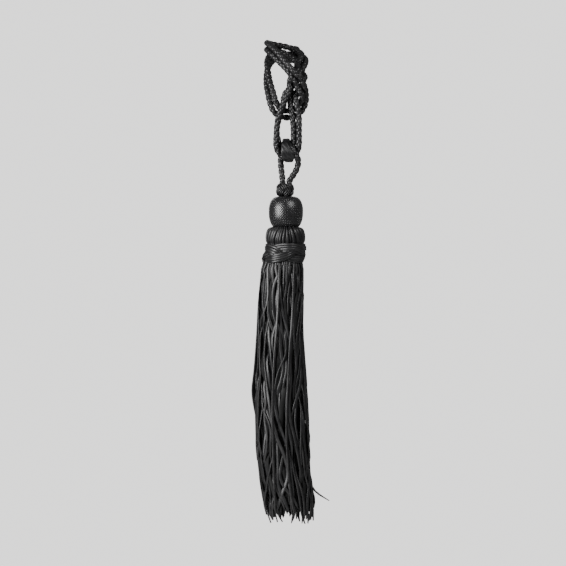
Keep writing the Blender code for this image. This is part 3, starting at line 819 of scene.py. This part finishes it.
# height, middle of the tassel's width, half its width
OUTLINE = np.array([
    (-0.231, 0.0, 0.0281), (-0.254, 0.0, 0.0284), (-0.262, 0.0003, 0.0288),
    (-0.27, -0.0018, 0.0292), (-0.276, -0.0034, 0.0294), (-0.282, -0.0038, 0.0301),
    (-0.333, -0.0065, 0.0321), (-0.384, -0.0079, 0.0335), (-0.417, -0.0072, 0.035),
    (-0.473, -0.0057, 0.038), (-0.529, -0.0036, 0.039), (-0.578, -0.0004, 0.0375),
    (-0.613, 0.0041, 0.0366), (-0.646, 0.0075, 0.0343),
])[::-1]


def lean_at(height):
    """Give the middle of the tassel at a height."""
    return np.interp(height, OUTLINE[:, 0], OUTLINE[:, 1])


def half_width_at(height):
    """Give half the width of the tassel at a height."""
    return np.interp(height, OUTLINE[:, 0], OUTLINE[:, 2])


print("widest half of the fringe:", OUTLINE[:, 2].max(), "m")


# %% Barrels
PROFILE_STEPS = 12


def barrel(profile, middle):
    """Turn a profile of radius and height, from the bottom up, into a barrel."""
    line = smooth_line(profile, PROFILE_STEPS)
    slope = unit(np.gradient(line, axis=0))
    middles = middle(line[:, 1]) if callable(middle) else np.full(len(line), middle)
    columns = [line[:, 0], line[:, 1], slope[:, 1], -slope[:, 0], middles]
    return {"at": travelled(line), "columns": columns}


def radius_at(shape, at):
    """Give a barrel's radius at a distance up its profile."""
    return np.interp(at, shape["at"], shape["columns"][0])


def on_barrel(shape, turn, at, lift):
    """Give the points at a turn, a distance up and a lift off the surface."""
    radius, height, out, up, middle = (np.interp(at, shape["at"], c) for c in shape["columns"])
    radius = radius + out * lift
    x, y = middle + radius * np.cos(turn), AXIS_Y + radius * np.sin(turn)
    return np.stack([x, y, height + up * lift], axis=-1)


print("points along a barrel's profile:", PROFILE_STEPS, "between two given ones")

# %% [markdown]
# A lace's width is laid out square to its line.  Below the laces a core painted near black as shade
# fills the barrel, so that no light comes through between them.

# %% Lay a lace or a core on a barrel
def lay_lace(bundle, lace, shape, turn, at, lift, width, thickness, section, side=0.0,
             closed=False):
    """Lay a lace along a line of turns and distances, or at its side."""
    radius = radius_at(shape, at)
    turn_step = steps_along(turn, closed)
    if closed:
        turn_step = (turn_step + math.pi) % (2 * math.pi) - math.pi
        turn_step[[0, -1]] = turn_step[1]
    round_step, up_step = turn_step * radius, steps_along(at, closed)
    length = np.maximum(np.hypot(round_step, up_step), 1e-12)
    half = np.broadcast_to(np.asarray(width) / 2, turn.shape)[:, None]
    sideways = section[:, 0] * half + side
    rings = on_barrel(
        shape,
        turn[:, None] - sideways * (up_step / length / np.maximum(radius, 1e-4))[:, None],
        at[:, None] + sideways * (round_step / length)[:, None],
        lift[:, None] + section[:, 1] * thickness / 2,
    )
    add_lace(bundle, rings, section, lace, closed)


def lay_core(bundle, shape, sides, sink, steps):
    """Lay rings round a barrel, a little under its surface, in leather painted near black as shade.
    """
    at = np.repeat(np.linspace(0.0, shape["at"][-1], steps)[:, None], sides, axis=1)
    turn = np.tile(np.linspace(0.0, 2 * math.pi, sides, endpoint=False), (steps, 1))
    rings = on_barrel(shape, turn, at, np.full(at.shape, -sink))
    add_lace(bundle, rings, np.zeros((sides, 2)), 0.0, painted_shade=1)


def covered_barrel(profile, middle, sides, sink, steps=24):
    """Start a bundle with the core of a barrel."""
    shape, bundle = barrel(profile, middle), new_bundle()
    lay_core(bundle, shape, sides, sink, steps)
    return shape, bundle


def scaled_profile(profile, radius, bottom, top):
    """Turn shares of a radius and a height into lengths."""
    return [(share * radius, bottom + up * (top - bottom)) for share, up in profile]


print("one point of a profile, in lengths:", scaled_profile([(1.0, 0.5)], 0.024, -0.231, -0.189))

# %% [markdown]
# ## A woven ring
#
# The button knot and the band are one weave at two sizes: a ring of three leads that swing up and
# down as they go round.  Where two leads meet, one is over, and at its next crossing it is under.
# One wave gives the swing, and a wave of twice the rate gives over and under.

# %% Weave a ring of three leads
SWING_FIRMNESS, WEAVE_FIRMNESS = 0.9, 1.8


def woven_ring(bundle, shape, leads, bights, phase, middle, swing, weave, sides, width, thickness,
               samples, section, crown=0.0):
    """Weave one endless line; crown is how far its outer laces lie lower."""
    count = samples * leads
    turn = 2 * math.pi * leads * np.arange(count) / count
    wave = bights / leads * turn + phase
    at = middle + swing * over_and_under(wave - math.pi / 2, SWING_FIRMNESS)
    lift = weave * over_and_under(2 * wave + math.pi / 2, WEAVE_FIRMNESS)
    for number, side in enumerate(sides):
        low = lift - crown * (side / sides[-1])**2
        lay_lace(bundle, mark_of(number), shape, turn, at, low, width, thickness, section, side,
                 closed=True)


print("firmness of the swing and of the weave:", SWING_FIRMNESS, WEAVE_FIRMNESS)

# %% [markdown]
# ## The button knot
#
# Above the bead the cord ends in a woven button: three leads and seven bights, made with three laces
# side by side over a round core.  A plain ball with a bump map would have no gaps, so it is woven.

# %% Button knot
KNOT_TOP, KNOT_BOTTOM, KNOT_RADIUS, KNOT_X = -0.1715, -0.1868, 0.0128, -0.0006
KNOT_LEADS, KNOT_BIGHTS, KNOT_PHASE, KNOT_SAMPLES = 3, 7, 0.4, 84
KNOT_SWING, KNOT_WEAVE, KNOT_SINK = 0.3, 0.0011, 0.0017
KNOT_LACE_WIDTH, KNOT_LACE_THICKNESS, KNOT_LACE_PITCH = 0.002, 0.0018, 0.0024

# radius and height as shares, from the bottom up
KNOT_PROFILE = [
    (0.30, -0.02), (0.55, 0.0), (0.84, 0.10), (0.98, 0.30), (1.0, 0.52), (0.94, 0.75),
    (0.80, 0.93), (0.60, 1.0), (0.34, 1.02),
]

knot_profile = scaled_profile(KNOT_PROFILE, KNOT_RADIUS - KNOT_SINK, KNOT_BOTTOM, KNOT_TOP)
knot_barrel, knot_bundle = covered_barrel(knot_profile, KNOT_X, sides=24, sink=0.0009)
knot_arc = knot_barrel["at"][-1]
woven_ring(
    knot_bundle, knot_barrel, KNOT_LEADS, KNOT_BIGHTS, KNOT_PHASE, knot_arc / 2,
    knot_arc * KNOT_SWING, KNOT_WEAVE, (-KNOT_LACE_PITCH, 0.0, KNOT_LACE_PITCH), KNOT_LACE_WIDTH,
    KNOT_LACE_THICKNESS, KNOT_SAMPLES, LACE_SECTION,
)
print("button knot:", round(2000 * KNOT_RADIUS, 1), "mm across")

# %% [markdown]
# The neck, which joins it to the bead, is a narrow lace wound three times round.

# %% Neck of the button knot
NECK_X, BEAD_TOP = 0.0012, -0.1886
NECK_WINDS, NECK_STEPS, NECK_LACE = 3, 72, 0.0011
NECK_PROFILE = [(0.0024, BEAD_TOP - 0.0008), (0.0026, -0.1876), (0.0024, -0.1862)]

neck_barrel = barrel(NECK_PROFILE, NECK_X)
neck_share = np.linspace(0.0, 1.0, NECK_STEPS)
lay_lace(
    knot_bundle, 0.4, neck_barrel, neck_share * NECK_WINDS * 2 * math.pi,
    neck_share * neck_barrel["at"][-1], np.zeros(NECK_STEPS), NECK_LACE, NECK_LACE, LACE_SECTION,
)
finish_bundle(knot_bundle, "woven_button", "button_knot", "braid")

# %% [markdown]
# ## The covered bead
#
# The wooden bead is covered with forty fine laces each way, plaited on the slant and burnished
# nearly smooth.  They are pared narrower towards its ends, so their width follows the radius.  A
# bump map would give the cells but not their edges, and the shine shows every edge.

# %% Bead
BEAD_BOTTOM, BEAD_RADIUS, BEAD_X = -0.2309, 0.0243, 0.0006
BEAD_LACES, BEAD_SAMPLES, BEAD_FIRMNESS = 40, 4, 1.2
BEAD_LACE_WIDTH, BEAD_LACE_THICKNESS, BEAD_WEAVE, BEAD_SINK = 0.0026, 0.0005, 0.00009, 0.0005

# radius and height as shares, from the bottom up
BEAD_PROFILE = [
    (0.30, -0.01), (0.69, 0.0), (0.82, 0.06), (0.92, 0.175), (0.985, 0.33), (1.0, 0.5),
    (0.985, 0.67), (0.89, 0.84), (0.72, 0.955), (0.485, 1.0), (0.2, 1.01),
]

bead_profile = scaled_profile(BEAD_PROFILE, BEAD_RADIUS - BEAD_SINK, BEAD_BOTTOM, BEAD_TOP)
bead_barrel, bead_bundle = covered_barrel(bead_profile, BEAD_X, sides=48, sink=0.0004, steps=36)
bead_arc = bead_barrel["at"][-1]
turn_for_length = 1.0 / BEAD_RADIUS
bead_rows = int(turn_for_length * BEAD_LACES * bead_arc / math.pi)
bead_at = np.linspace(0.0, bead_arc, bead_rows * BEAD_SAMPLES + 1)
bead_width = BEAD_LACE_WIDTH * radius_at(bead_barrel, bead_at) / BEAD_RADIUS
bead_wave = over_and_under(turn_for_length * BEAD_LACES * bead_at, BEAD_FIRMNESS)
for way in (1, -1):
    for number in range(BEAD_LACES):
        bead_turn = 2 * math.pi * number / BEAD_LACES + way * turn_for_length * bead_at
        lay_lace(
            bead_bundle, mark_of(number + way), bead_barrel, bead_turn, bead_at,
            way * BEAD_WEAVE * bead_wave, bead_width, BEAD_LACE_THICKNESS, TILE_SECTION,
        )
finish_bundle(bead_bundle, "plaited_bead", "bead", "bead_cover")
print("bead:", bead_rows, "rows of cells")

# %% [markdown]
# ## The head of the tassel
#
# Under the bead the laces of the tassel are bent over, and they bulge over the shoulders.  At the
# front they are narrow and gathered to the middle, and at the sides they lie in wider folds.  A
# ribbed surface would look cast, so each is a lace that runs from the band up over the shoulder.

# %% Where the laces of the head lie
HEAD_TOP, SHOULDER_BOTTOM, HEAD_RADIUS, HEAD_SINK = -0.2318, -0.254, 0.0281, 0.0012
WAIST_PROFILE = [(0.0252, -0.284), (0.0252, -0.262)]
HEAD_TURNS = np.linspace(-180.0, 180.0, 1441)

# radius and height as shares, from the bottom up
HEAD_PROFILE = [
    (0.92, 0.0), (0.98, 0.15), (1.0, 0.42), (0.965, 0.7), (0.875, 0.91), (0.64, 1.0), (0.25, 1.0),
]
# degrees from the front, and the width of a lace there
HEAD_WIDTHS = np.array([
    (0, 0.004), (36, 0.0042), (50, 0.0066), (112, 0.0066), (125, 0.0044), (180, 0.0044),
])
# degrees from the front, and how far the laces there stand proud
PROUD_LACES = [(-37, 0.0012), (-15, 0.0013), (13, 0.0008), (27, 0.001), (62, 0.0003)]

head_line = [(radius - HEAD_SINK, height) for radius, height in WAIST_PROFILE]
head_line += scaled_profile(HEAD_PROFILE, HEAD_RADIUS - HEAD_SINK, SHOULDER_BOTTOM, HEAD_TOP)
head_barrel, head_bundle = covered_barrel(head_line, lean_at, sides=48, sink=0.0016, steps=40)


def width_in_head(degrees):
    """Give the width of a lace at an angle from the front."""
    return np.interp(np.abs(degrees), HEAD_WIDTHS[:, 0], HEAD_WIDTHS[:, 1])


def head_places():
    """Lay the laces side by side round the head and give their angles."""
    arc_step = math.radians(HEAD_TURNS[1] - HEAD_TURNS[0]) * HEAD_RADIUS
    passed = np.concatenate([[0.0], np.cumsum(arc_step / width_in_head(HEAD_TURNS[1:]))])
    count = int(round(passed[-1]))
    return np.interp((np.arange(count) + 0.5) * passed[-1] / count, passed, HEAD_TURNS)


print("laces in the head:", len(head_places()))

# %% [markdown]
# Every other lace lies a little deeper, and a few at the front stand proud and catch the light.

# %% Lay the laces of the head
HEAD_LACE_THICKNESS, HEAD_STEPS, HEAD_OVERLAP = 0.0026, 44, 1.06
HEAD_DEPTH, HEAD_UNEVEN, PROUD_DEGREES = 0.0015, 0.0003, 4.5
HEAD_GATHER, GATHER_FROM, GATHER_OVER = 0.42, 0.42, 0.36
HEAD_WANDER = math.radians(1.5)


def head_lift(number, degrees, share):
    """Give how far a lace of the head stands off its barrel."""
    lift = -HEAD_DEPTH * (number % 2) - HEAD_UNEVEN * math.sin(2.7 * number)
    for proud, extra in PROUD_LACES:
        lift += extra * math.exp(-((degrees - proud) / PROUD_DEGREES)**2)
    return lift * np.sin(np.clip(share * 1.35 - 0.3, 0.0, 1.0) * math.pi)


head_share = np.linspace(0.0, 1.0, HEAD_STEPS)
head_at = head_share * head_barrel["at"][-1]
gathered = HEAD_GATHER * ease((head_share - GATHER_FROM) / GATHER_OVER)
narrowing = radius_at(head_barrel, head_at) / HEAD_RADIUS
for number, degrees in enumerate(head_places()):
    turn = math.radians(degrees)
    bent = turn - gathered * math.sin(2 * turn) / 2
    wander = HEAD_WANDER * np.sin(3.1 * head_share + 1.9 * number)
    crowding = (1 - gathered * math.cos(2 * turn)) * narrowing
    lay_lace(
        head_bundle, mark_of(number), head_barrel, bent + wander - math.pi / 2, head_at,
        head_lift(number, degrees, head_share), HEAD_OVERLAP * width_in_head(degrees) * crowding,
        HEAD_LACE_THICKNESS, LACE_SECTION,
    )
finish_bundle(head_bundle, "head_laces", "tassel", "laces")

# %% [markdown]
# ## The woven band
#
# The band binds the neck of the tassel.  It is the button's woven ring with three leads and four
# bights, each lead four flat laces wide.  One swing peaks at the front and makes the arch there.

# %% Woven band
BAND_RADIUS, BAND_FOOT, BAND_HEAD, BAND_MIDDLE = 0.028, -0.292, -0.244, -0.2679
BAND_LEADS, BAND_BIGHTS, BAND_SAMPLES = 3, 4, 96
BAND_SWING, BAND_WEAVE, BAND_CROWN = 0.0074, 0.0018, 0.0012
BAND_LACE_WIDTH, BAND_LACE_THICKNESS, BAND_LACE_PITCH = 0.0033, 0.0016, 0.0031
BAND_PEAK = math.radians(-88)

band_phase = math.pi / 2 - BAND_BIGHTS / BAND_LEADS * BAND_PEAK
band_side = [(BAND_RADIUS, height) for height in np.linspace(BAND_FOOT, BAND_HEAD, 9)]
band_bundle = new_bundle()
woven_ring(
    band_bundle, barrel(band_side, lean_at), BAND_LEADS, BAND_BIGHTS, band_phase,
    BAND_MIDDLE - BAND_FOOT, BAND_SWING, BAND_WEAVE,
    [(k - 1.5) * BAND_LACE_PITCH for k in range(4)], BAND_LACE_WIDTH, BAND_LACE_THICKNESS,
    BAND_SAMPLES, STRAP_SECTION, BAND_CROWN,
)
finish_bundle(band_bundle, "band_laces", "woven_band", "laces")

# %% [markdown]
# ## The fringe
#
# The fringe hangs in layers.  The outer laces lie loosely with dark gaps between them, and the inner
# ones are painted near black as shade.  Hair particles would give the number but not flat leather
# with edges, so each lace is drawn.

# %% Where the laces of the fringe start
FRINGE_TOP, WAIST_RADIUS, FRINGE_SINK = -0.268, 0.0262, 0.0012
DEPTH_OF_WIDTH = 0.85
FLARE_TOP, FLARE_LENGTH = -0.274, 0.016
ROOT_SPREAD = 0.3

# share of the way out from the middle, number of laces, and shade: 0 is satin,
# 1 is leather painted near black as shade
LAYERS = [(0.985, 33, 0), (0.84, 30, 0), (0.7, 32, 1), (0.5, 22, 1), (0.25, 10, 1)]

chance = np.random.default_rng(7)


def fringe_roots():
    """Give each lace's place as shares of width and depth, and its finish."""
    rows = []
    for layer, (out, count, painted_shade) in enumerate(LAYERS):
        for number in range(count):
            stray = chance.normal(0.0, ROOT_SPREAD / count)
            turn = 2 * math.pi * (number + 0.5 * layer) / count + stray
            rows.append((out * math.cos(turn), out * math.sin(turn), painted_shade))
    return np.array(rows)


def bundle_reach(height):
    """Give how far the laces' middles reach out at a height."""
    flare = ease((FLARE_TOP - height) / FLARE_LENGTH)
    waist = WAIST_RADIUS - FRINGE_SINK
    return waist + flare * (half_width_at(height) - FRINGE_SINK - waist)


roots = fringe_roots()
print("fringe:", len(roots), "laces in", len(LAYERS), "layers")

# %% [markdown]
# On its way down each lace sways in slow waves.  Then laces that are too close push each other
# apart, and those that stray out are brought back.  Only their middle lines are kept apart, so
# where two laces cross their edges may touch.

# %% How the laces sway and part
LACE_ROOM, PART_SHARE, EVENING_PASSES = 0.0038, 0.3, 8


def slow_waves(count, along, lengths, slope):
    """Give each lace its own waves: the longer the wave, the wider it swings."""
    waves = np.zeros((count, len(along)))
    for length in lengths:
        size = slope * length * chance.uniform(0.4, 1.3, (count, 1))
        first = chance.uniform(0.0, 2 * math.pi, (count, 1))
        waves += size * np.sin(2 * math.pi * along / length + first)
    return waves


def bring_inside(x, y, height):
    """Bring the laces that stray out back to the bundle's surface."""
    reach = bundle_reach(height)
    middle = lean_at(height)
    beyond = np.maximum(np.hypot((x - middle) / reach, (y - AXIS_Y) / (reach * DEPTH_OF_WIDTH)), 1.0)
    return middle + (x - middle) / beyond, AXIS_Y + (y - AXIS_Y) / beyond


def room_between(x, y):
    """Give the move that parts laces which are too close at each height."""
    apart_x, apart_y = x[:, None] - x[None], y[:, None] - y[None]
    distance = np.hypot(apart_x, apart_y) + 1e-9
    push = np.clip(LACE_ROOM - distance, 0.0, None) / distance * PART_SHARE
    return (push * apart_x).sum(axis=1), (push * apart_y).sum(axis=1)


def evened(move):
    """Spread the moves along each lace, so that it bends gently."""
    move[:, 0] = 0.0
    for number in range(EVENING_PASSES):
        move[:, 1:-1] = (move[:, :-2] + 2 * move[:, 1:-1] + move[:, 2:]) / 4
    return move


print("room of a lace:", LACE_ROOM, "m")

# %% Let the fringe hang
FRINGE_END, END_SPREAD, INNER_RISE = -0.633, 0.0125, 0.007
FRINGE_STEPS, FRINGE_PASSES = 52, 70
SWAY_LENGTHS, SWAY_SLOPE, SWAY_BEGIN = (0.24, 0.14), 0.027, 0.07
LOOSE_ENDS, LOOSE_FROM = 0.7, 0.6


def hanging_fringe():
    """Give the points down every lace of the fringe."""
    count = len(roots)
    share = np.linspace(0.0, 1.0, FRINGE_STEPS)
    spread = END_SPREAD * chance.uniform(-1.0, 1.0, (count, 1))
    end = FRINGE_END + spread + INNER_RISE * roots[:, 2:]
    height = FRINGE_TOP + share * (end - FRINGE_TOP)
    below = FRINGE_TOP - height[0]
    loose_end = LOOSE_ENDS * ease((share - LOOSE_FROM) / (1 - LOOSE_FROM))
    loose = ease(below / SWAY_BEGIN) * (1 + loose_end)
    reach = bundle_reach(height)
    deep = 1 - (1 - DEPTH_OF_WIDTH) * ease((FLARE_TOP - height) / FLARE_LENGTH)
    x = lean_at(height) + reach * roots[:, :1]
    y = AXIS_Y + deep * reach * roots[:, 1:2]
    x += loose * slow_waves(count, below, SWAY_LENGTHS, SWAY_SLOPE)
    y += loose * slow_waves(count, below, SWAY_LENGTHS, SWAY_SLOPE)
    for number in range(FRINGE_PASSES):
        move_x, move_y = room_between(x, y)
        x, y = bring_inside(x + evened(move_x), y + evened(move_y), height)
    return np.stack([x, y, height], axis=-1)


fringe_lines = hanging_fringe()
print("widest stretch of the fringe:", round(float(np.ptp(fringe_lines[..., 0])), 4), "m")

# %% [markdown]
# A lace shows its flat side outwards, twists a little on the way down, and ends in a cut point.

# %% Lay the laces of the fringe
FRINGE_WIDTH, FRINGE_THICKNESS, WIDTH_SPREAD, INNER_WIDTH = 0.0042, 0.0018, 0.15, 1.5
POINT_LENGTH, POINT_SHARE = 0.009, 0.2
TWIST_LENGTHS, TWIST_SLOPE = (0.3, 0.19), 1.3


def hanging_lace(bundle, line, facing, width, lace, painted_shade=0):
    """Lay one lace; facing is the turn of its flat side; a lace marked 1 is painted black as shade.
    """
    along = unit(np.gradient(line, axis=0))
    wide = np.stack([np.cos(facing), np.sin(facing), 0 * facing], axis=1)
    wide = unit(wide - (wide * along).sum(axis=1)[:, None] * along)
    thick = np.cross(along, wide)
    axis = np.stack([lean_at(line[:, 2]), np.full(len(line), AXIS_Y), line[:, 2]], axis=1)
    if (thick * (line - axis)).sum() < 0:
        thick = -thick
    above_end = np.clip((line[:, 2] - line[-1, 2]) / POINT_LENGTH, 0.0, 1.0)
    half = (width / 2 * (POINT_SHARE + (1 - POINT_SHARE) * above_end))[:, None, None]
    section = STRAP_SECTION if painted_shade == 0 else FINE_SECTION
    rings = line[:, None] + wide[:, None] * section[None, :, :1] * half
    rings = rings + thick[:, None] * section[None, :, 1:] * FRINGE_THICKNESS / 2
    add_lace(bundle, rings, section, lace, painted_shade=painted_shade)


fringe_bundle = new_bundle()
below = FRINGE_TOP - fringe_lines[0, :, 2]
twists = slow_waves(len(roots), below, TWIST_LENGTHS, TWIST_SLOPE)
for (u, v, painted_shade), twist, line in zip(roots, twists, fringe_lines):
    facing = math.atan2(v, u) + math.pi / 2 + twist
    width = FRINGE_WIDTH * chance.uniform(1 - WIDTH_SPREAD, 1 + WIDTH_SPREAD)
    width *= INNER_WIDTH if painted_shade else 1.0
    hanging_lace(fringe_bundle, line, facing, width, chance.uniform(0.0, 1.0), int(painted_shade))
print("twist of the first lace:", round(float(np.ptp(twists[0])), 2), "radians")

# %% [markdown]
# A few laces are placed one by one: two long ones that catch the light at the front, one that
# bows out at the left with two others behind it, and one that flicks out at the lower right.

# %% Routes of the laces placed one by one
# x, y, z down each lace
FRONT_LEFT = [
    (-0.0085, -0.0572, -0.272), (-0.0085, -0.0612, -0.284), (-0.0086, -0.065, -0.3),
    (-0.0118, -0.0665, -0.36), (-0.0147, -0.0672, -0.403), (-0.0172, -0.0675, -0.45),
    (-0.0178, -0.0682, -0.51), (-0.016, -0.068, -0.57), (-0.0135, -0.0672, -0.632),
]
FRONT_RIGHT = [
    (0.0125, -0.0515, -0.274), (0.012, -0.06, -0.287), (0.0105, -0.0655, -0.33),
    (0.0085, -0.0665, -0.365), (0.0063, -0.067, -0.396), (0.0035, -0.0678, -0.45),
    (0.0015, -0.0688, -0.52), (0.0052, -0.0682, -0.58), (0.0115, -0.0668, -0.628),
]
LEFT_BOW = [
    (-0.0262, -0.038, -0.27), (-0.032, -0.0385, -0.285), (-0.0375, -0.039, -0.333),
    (-0.0404, -0.0395, -0.384), (-0.043, -0.04, -0.42), (-0.0447, -0.04, -0.438),
    (-0.0468, -0.04, -0.456), (-0.0462, -0.04, -0.47), (-0.0438, -0.04, -0.484),
    (-0.0395, -0.0395, -0.51), (-0.036, -0.039, -0.56),
    (-0.031, -0.038, -0.6), (-0.026, -0.037, -0.634),
]
RIGHT_FLICK = [
    (0.021, -0.038, -0.27), (0.0236, -0.0385, -0.285), (0.0238, -0.0395, -0.35),
    (0.0262, -0.0405, -0.42), (0.0315, -0.041, -0.5), (0.0328, -0.0415, -0.55),
    (0.0345, -0.042, -0.58), (0.0371, -0.0424, -0.5936), (0.0413, -0.043, -0.5999),
    (0.0483, -0.0438, -0.6055), (0.0553, -0.0444, -0.6097), (0.0612, -0.045, -0.6132),
]
BESIDE_BOW = [(x + 0.003, y + 0.003, z) for x, y, z in LEFT_BOW]
BEHIND_BOW = [(x + 0.0095, y + 0.007, z) for x, y, z in LEFT_BOW]
print("points down the lace that bows out:", len(LEFT_BOW))

# %% Lay the laces placed one by one
PLACED_STEP = 0.008
# line, turns of the flat side from the top down in radians, width, mark; the mark is each lace's
# own tone, set palest on the two front laces as painted highlight and darkest on those behind the
# bow as painted shade
PLACED_LACES = [
    (FRONT_LEFT, (0.5, -0.2, -0.4, -0.35, 0.2, 0.5, 0.4, 0.3, 0.5, 0.6, 0.5), 0.0036, 0.95),
    (FRONT_RIGHT, (1.2, 0.9, -0.2, -0.35, 0.7, 1.0, 0.9, 0.7, 0.8, 0.6, 0.5), 0.0034, 0.9),
    (LEFT_BOW, (1.35, 1.35), 0.0032, 0.7),
    (BESIDE_BOW, (0.9, 0.6, 0.6, 0.9), 0.004, 0.3),
    (BEHIND_BOW, (0.3, 0.3), 0.007, 0.2),
    (RIGHT_FLICK, (1.1, 1.1, 1.1, 1.0, 0.3), 0.0027, 0.6),
]
for route, turns, width, lace in PLACED_LACES:
    line = evenly(smooth_line(route), PLACED_STEP)
    facing = np.interp(np.linspace(0, 1, len(line)), np.linspace(0, 1, len(turns)), turns)
    hanging_lace(fringe_bundle, line, facing, width, lace)
finish_bundle(fringe_bundle, "fringe", "tassel", "laces")

# %% [markdown]
# ## Light and floor
#
# Black leather shows by what it reflects.  A broad soft light in front at the left draws the long
# highlights, a weaker one at the upper right opens that side, and a faint one behind picks out the
# edges.  The world looks pale but lights little, so the gaps between the laces stay dark.

# %% Studio lights
LIT_POINT = Vector((0.0, AXIS_Y, -0.3))


def soft_light(name, place, width, height, power):
    """Aim a soft light at the tassel."""
    light = bpy.data.lights.new(name, "AREA")
    light.shape = "RECTANGLE"
    light.size, light.size_y, light.energy = width, height, power
    lamp = new_object(name, light)
    lamp.location = place
    lamp.rotation_euler = (LIT_POINT - Vector(place)).to_track_quat("-Z", "Y").to_euler()
    lamp.visible_camera = False


soft_light("key", (-1.7, -1.45, 0.1), 1.3, 1.1, 76.0)
soft_light("fill", (1.2, -1.5, 1.0), 0.9, 0.9, 24.0)
soft_light("back", (-0.3, 1.9, 0.3), 1.2, 1.0, 6.0)
print("lights:", len(bpy.data.lights))

# %% World
SURROUND_LIGHT, SURROUND_SEEN = 0.16, 1.7

world = bpy.data.worlds.new("studio")
scene.world = world
world.use_nodes = True
tree = world.node_tree
lighting = tree.nodes["Background"]
set_inputs(tree, lighting, {"Color": (1.0, 1.0, 1.0, 1.0), "Strength": SURROUND_LIGHT})
seen_values = {"Color": (1.0, 0.995, 0.985, 1.0), "Strength": SURROUND_SEEN}
seen = add_node(tree, "ShaderNodeBackground", seen_values)
looked_at = add_node(tree, "ShaderNodeLightPath").outputs["Is Camera Ray"]
choices = {0: looked_at, 1: lighting.outputs[0], 2: seen.outputs[0]}
choice = add_node(tree, "ShaderNodeMixShader", choices)
tree.links.new(choice.outputs[0], tree.nodes["World Output"].inputs["Surface"])
print("surround: seen at", SURROUND_SEEN, "and lighting at", SURROUND_LIGHT)

# %% Floor
FLOOR_HEIGHT, FLOOR_RADIUS, FLOOR_EDGE = -0.8, 0.6, 0.004

shape = bmesh.new()
bmesh.ops.create_cone(
    shape, cap_ends=True, segments=96, radius1=FLOOR_RADIUS, radius2=FLOOR_RADIUS, depth=FLOOR_EDGE,
)
bmesh.ops.translate(shape, verts=shape.verts, vec=(0.0, 0.0, FLOOR_HEIGHT))
floor_mesh = bpy.data.meshes.new("floor")
shape.to_mesh(floor_mesh)
shape.free()
floor = new_object("floor", floor_mesh)
floor_paint = bpy.data.materials.new("floor_paint")
floor_paint.use_nodes = True
tree = floor_paint.node_tree
paint = {"Base Color": (0.8, 0.8, 0.79, 1.0), "Roughness": 0.85}
set_inputs(tree, tree.nodes["Principled BSDF"], paint)
floor_mesh.materials.append(floor_paint)
print("floor:", FLOOR_HEIGHT, "m")
